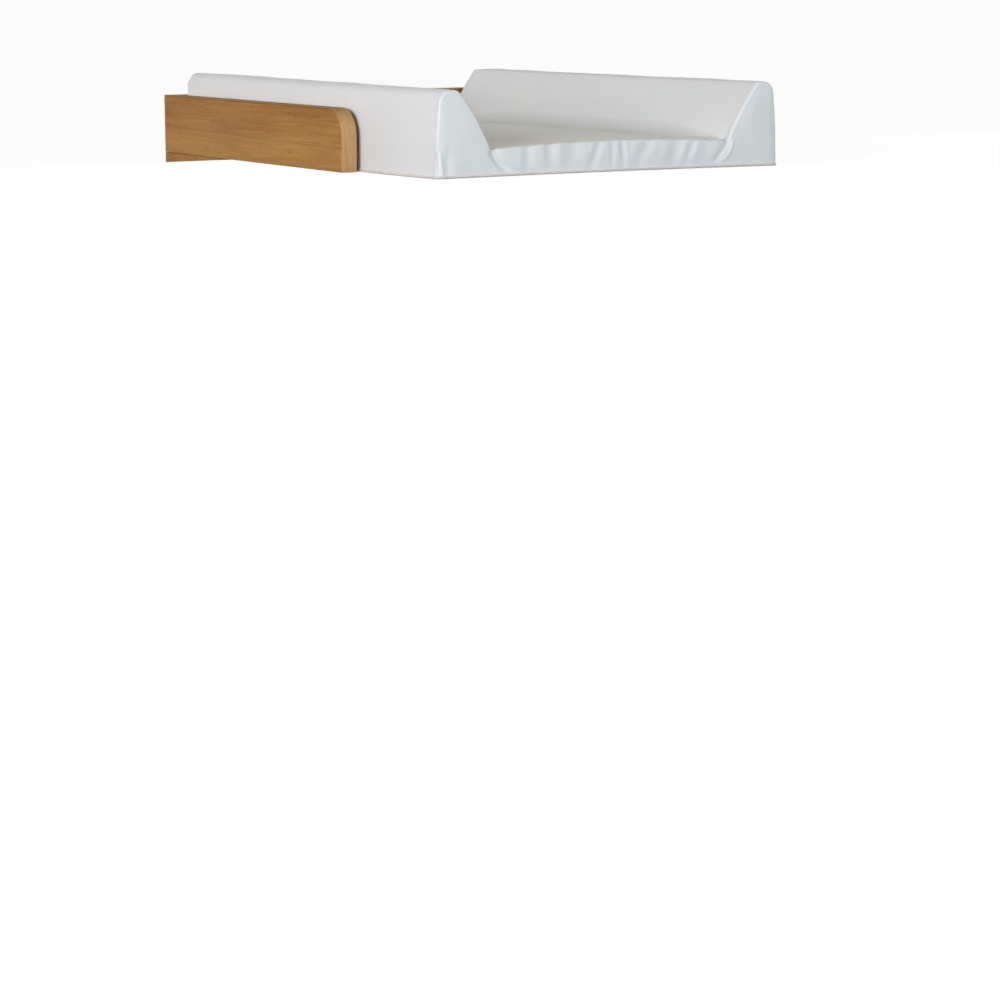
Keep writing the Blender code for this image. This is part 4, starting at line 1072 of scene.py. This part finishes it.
def build_underside():
    """The plain cloth under the mat, sewn in behind the piping."""
    low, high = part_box("cover_base")
    points = []
    for r in range(UNDERSIDE_ROWS + 1):
        y = low.y + (high.y - low.y) * r / UNDERSIDE_ROWS
        half = half_width_at(y) - UNDERSIDE_INSET - rounding_inset(min(y - low.y, high.y - y))
        for c in range(UNDERSIDE_COLUMNS + 1):
            x = half * (2 * c / UNDERSIDE_COLUMNS - 1)
            points.append((x, y, high.z * UNDERSIDE_LEVEL))
    mesh = mesh_of("mat_underside", points, grid_faces(UNDERSIDE_ROWS + 1, UNDERSIDE_COLUMNS + 1))
    spots = points_of(mesh)
    edge = np.minimum(mat_half_width - np.abs(spots[:, 0]),
                      np.minimum(spots[:, 1] - low.y, high.y - spots[:, 1]))
    height, spacing = UNDERSIDE_WAVES
    inward = 1 - np.exp(-np.clip(edge, 0, None) / UNDERSIDE_WAVES_FROM)
    spots[:, 2] += height * swell(spots, spacing, seed=21) * inward
    set_points(mesh, settled(spots))
    mesh = with_modifiers(mesh, ("SOLIDIFY", {"thickness": UNDERSIDE_THICKNESS, "offset": 0.0}))
    piece("mat_underside", mesh, finishes["underside"], "mat", ("cover_base",))


def open_tube(path, radius, sides):
    """A tube along an open path, closed at both ends."""
    path = [Vector(p) for p in path]
    points = []
    side = Vector((0, 0, 1))
    for i, spot in enumerate(path):
        along = (path[min(i + 1, len(path) - 1)] - path[max(i - 1, 0)]).normalized()
        side = (side - along * side.dot(along)).normalized()
        other = along.cross(side)
        for k in range(sides):
            turn = 2 * math.pi * k / sides
            points.append(spot + (side * math.cos(turn) + other * math.sin(turn)) * radius)
    faces = tube_faces([(i, i + 1) for i in range(len(path) - 1)], sides)
    faces.append(tuple(range(sides)))
    faces.append(tuple(range((len(path) - 1) * sides, len(path) * sides)))
    return points, faces


def build_coils():
    """Each row of the zip is one wound filament whose loops reach between the other row's."""
    for row in ("upper", "lower"):
        low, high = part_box(f"zip_coil_{row}")
        middle_y = (low.y + high.y) / 2
        reach_y = (high.y - low.y) / 2 - COIL_THREAD
        middle_z = (low.z + high.z) / 2
        reach_z = (high.z - low.z) / 2 - COIL_THREAD
        turns = int((high.x - low.x - COIL_PITCH) / COIL_PITCH)
        start = low.x + (0.0 if row == "upper" else COIL_PITCH / 2) + COIL_THREAD
        path = []
        for i in range(turns * COIL_STEPS + 1):
            angle = 2 * math.pi * i / COIL_STEPS
            flat = math.copysign(abs(math.cos(angle)) ** 0.6, math.cos(angle))
            path.append((start + COIL_PITCH * i / COIL_STEPS,
                         middle_y + reach_y * math.sin(angle), middle_z + reach_z * flat))
        mesh = mesh_of(f"coil_{row}", *open_tube(path, COIL_THREAD, 6))
        piece(f"coil_{row}", mesh, finishes["coil"], "mat", (f"zip_coil_{row}",))


def build_tapes():
    """The zip's two woven tapes, a little wavy."""
    for row in ("upper", "lower"):
        low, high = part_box(f"zip_tape_{row}")
        points = []
        for r in range(TAPE_ROWS + 1):
            z = low.z + (high.z - low.z) * r / TAPE_ROWS
            for c in range(TAPE_COLUMNS + 1):
                x = low.x + (high.x - low.x) * c / TAPE_COLUMNS
                points.append((x, (low.y + high.y) / 2, z))
        mesh = mesh_of(f"tape_{row}", points, grid_faces(TAPE_ROWS + 1, TAPE_COLUMNS + 1))
        spots = points_of(mesh)
        height, spacing = TAPE_WAVES
        spots[:, 1] += height * swell(spots * np.array([1.0, 1.0, 0.3]), spacing, seed=31)
        set_points(mesh, spots)
        thickness = (high.y - low.y) * TAPE_THICKNESS_SHARE
        mesh = with_modifiers(mesh, ("SOLIDIFY", {"thickness": thickness, "offset": 0.0}))
        piece(f"tape_{row}", mesh, finishes["tape"], "mat", (f"zip_tape_{row}",))


# Finishes of the rigid solids

def dress(nodes, finish):
    """Gives solids that are seen as they are their material."""
    for name in nodes:
        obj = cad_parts[name]
        obj.data.materials.clear()
        obj.data.materials.append(finishes[finish])


def numbered(name, count):
    return [f"{name}_{i}" for i in range(1, count + 1)]


def dress_frame():
    dress(["side_board_left"], "oak_left")
    dress(["side_board_right"], "oak_right")
    dress(["back_board"], "oak_back")
    dress(["base_panel"], "oak_base")
    dress(["edge_band_left", "edge_band_right"], "edge_side")
    dress(["edge_band_back"], "edge_back")
    dress(numbered("corner_dowel", 4), "beech")
    dress(["cam_bolt_left", "cam_bolt_right", *numbered("base_screw", 7),
           *numbered("bracket_screw", 4)], "screw")
    dress(["bracket_left", "bracket_right"], "bracket")
    dress(["cam_disc_left", "cam_disc_right", "zip_stop_left", "zip_stop_right",
           "zip_slider", "zip_pull"], "zinc")


# Stage, light and camera

def lit_white(name, diffuse, glow, share):
    """A pale surface that looks nearly white to the camera and still takes a shadow."""
    f = Finish(name)
    f.tree.nodes.remove(f.shader)
    plain = f.add("BsdfDiffuse", {"Color": color(*diffuse)}).outputs[0]
    pale = f.add("BsdfDiffuse", {"Color": color(share, share, share)}).outputs[0]
    light = f.add("Emission", {"Color": color(1.0, 1.0, 1.0), "Strength": glow}).outputs[0]
    bright = f.add("AddShader", {0: pale, 1: light}).outputs[0]
    both = f.add("MixShader", {0: f.seen_plainly(), 1: plain, 2: bright}).outputs[0]
    f.tree.links.new(both, f.tree.nodes["Material Output"].inputs["Surface"])
    return f.material


def build_stage():
    pale = lit_white("pale_stage", diffuse=(0.15, 0.12, 0.10), glow=0.90, share=0.30)
    bottom = STEP_TOP - STEP_HEIGHT
    half = STEP_HALF_WIDTH
    step = bmesh.new()
    size = Matrix.Diagonal((2 * half, -STEP_FRONT, STEP_HEIGHT, 1.0))
    middle = Matrix.Translation((0.0, STEP_FRONT / 2, STEP_TOP - STEP_HEIGHT / 2))
    bmesh.ops.create_cube(step, size=1.0, matrix=middle @ size)
    mesh = bpy.data.meshes.new("stage_step")
    step.to_mesh(mesh)
    step.free()
    floor = mesh_of("stage_floor", [(-half, STEP_FRONT, bottom), (half, STEP_FRONT, bottom),
                                    (half, FLOOR_BACK, bottom), (-half, FLOOR_BACK, bottom)],
                    [(0, 1, 2, 3)])
    for made in (mesh, floor):
        obj = bpy.data.objects.new(made.name, made)
        made.materials.append(pale)
        bpy.context.scene.collection.objects.link(obj)


def area_light(name, place, size, power, tint):
    data = bpy.data.lights.new(name, "AREA")
    data.shape = "RECTANGLE"
    data.size, data.size_y = size
    data.energy = power
    data.color = tint
    obj = bpy.data.objects.new(name, data)
    bpy.context.scene.collection.objects.link(obj)
    obj.location = place
    obj.rotation_euler = (Vector(LAMPS_AIM) - Vector(place)).to_track_quat("-Z", "Y").to_euler()


def build_world():
    """Soft light that fades from the horizon up, and plain white where the camera sees it."""
    world = bpy.data.worlds.new("studio")
    bpy.context.scene.world = world
    world.use_nodes = True
    world.node_tree.nodes.clear()
    w = Nodes(world.node_tree)
    parts = w.parts(w.add("TexCoord").outputs["Generated"])
    low_level, low_tint = SKY_LOW
    high_level, high_tint = SKY_HIGH
    sky = w.mix(w.span(parts["Z"], *SKY_RISE), shade(low_tint, low_level), shade(high_tint, high_level))
    sky = w.mix(w.span(parts["Y"], *SKY_BACK_SPAN), sky, color(*SKY_BACK_TINT), "MULTIPLY")
    soft = w.add("Background", {"Color": sky}).outputs[0]
    white = w.add("Background", {"Color": color(1.0, 1.0, 1.0), "Strength": WHITE_LEVEL}).outputs[0]
    both = w.add("MixShader", {0: w.seen_plainly(), 1: soft, 2: white}).outputs[0]
    w.add("OutputWorld", {"Surface": both})


def build_camera():
    data = bpy.data.cameras.new("camera")
    data.sensor_width = CAMERA_SENSOR
    data.lens = CAMERA_LENS
    data.clip_start = 0.05
    data.clip_end = 60.0
    camera = bpy.data.objects.new("camera", data)
    bpy.context.scene.collection.objects.link(camera)
    turn = Matrix.Rotation(math.radians(-CAMERA_YAW), 4, "Z")
    turn = turn @ Matrix.Rotation(math.radians(90 + CAMERA_PITCH), 4, "X")
    turn = turn @ Matrix.Rotation(math.radians(CAMERA_ROLL), 4, "Z")
    camera.matrix_world = Matrix.Translation(CAMERA_PLACE) @ turn
    bpy.context.scene.camera = camera


finishes = {
    "oak_left": oak("oak_left", "Y", (0.13, 0.02, 0.0), (0.035, 0.0135)),
    "oak_right": oak("oak_right", "Y", (2.1, 0.4, 0.3), (0.050, -0.020)),
    "oak_back": oak("oak_back", "X", (1.2, 0.7, 0.1), (0.030, 0.012)),
    "oak_base": oak("oak_base", "X", (3.2, 1.7, 0.6)),
    "edge_side": edge_oak("oak_edge_side", True),
    "edge_back": edge_oak("oak_edge_back", False),
    "beech": raw_beech("beech"),
    "screw": metal("zinc_plated_screw", (0.66, 0.66, 0.63), 0.32),
    "bracket": metal("plated_bracket", (0.60, 0.61, 0.62), 0.36, (40.0, 900.0, 900.0)),
    "zinc": metal("zinc_casting", (0.62, 0.62, 0.63), 0.34),
    "cover": coated_cover("coated_cover"),
    "underside": woven("mat_underside", 160.0, (0.72, 0.72, 0.71), (0.60, 0.60, 0.59), 0.7),
    "welt": piping("mat_piping"),
    "tape": woven("zip_tape", 260.0, (0.80, 0.80, 0.79), (0.62, 0.62, 0.61), 0.75),
    "coil": monofilament("zip_filament"),
}

dress_frame()
build_cover()
build_welt()
build_underside()
build_tapes()
build_coils()
build_stage()
build_world()
area_light("key", *KEY_LAMP)
area_light("fill", *FILL_LAMP)
build_camera()
bpy.context.scene.view_settings.view_transform = "Standard"
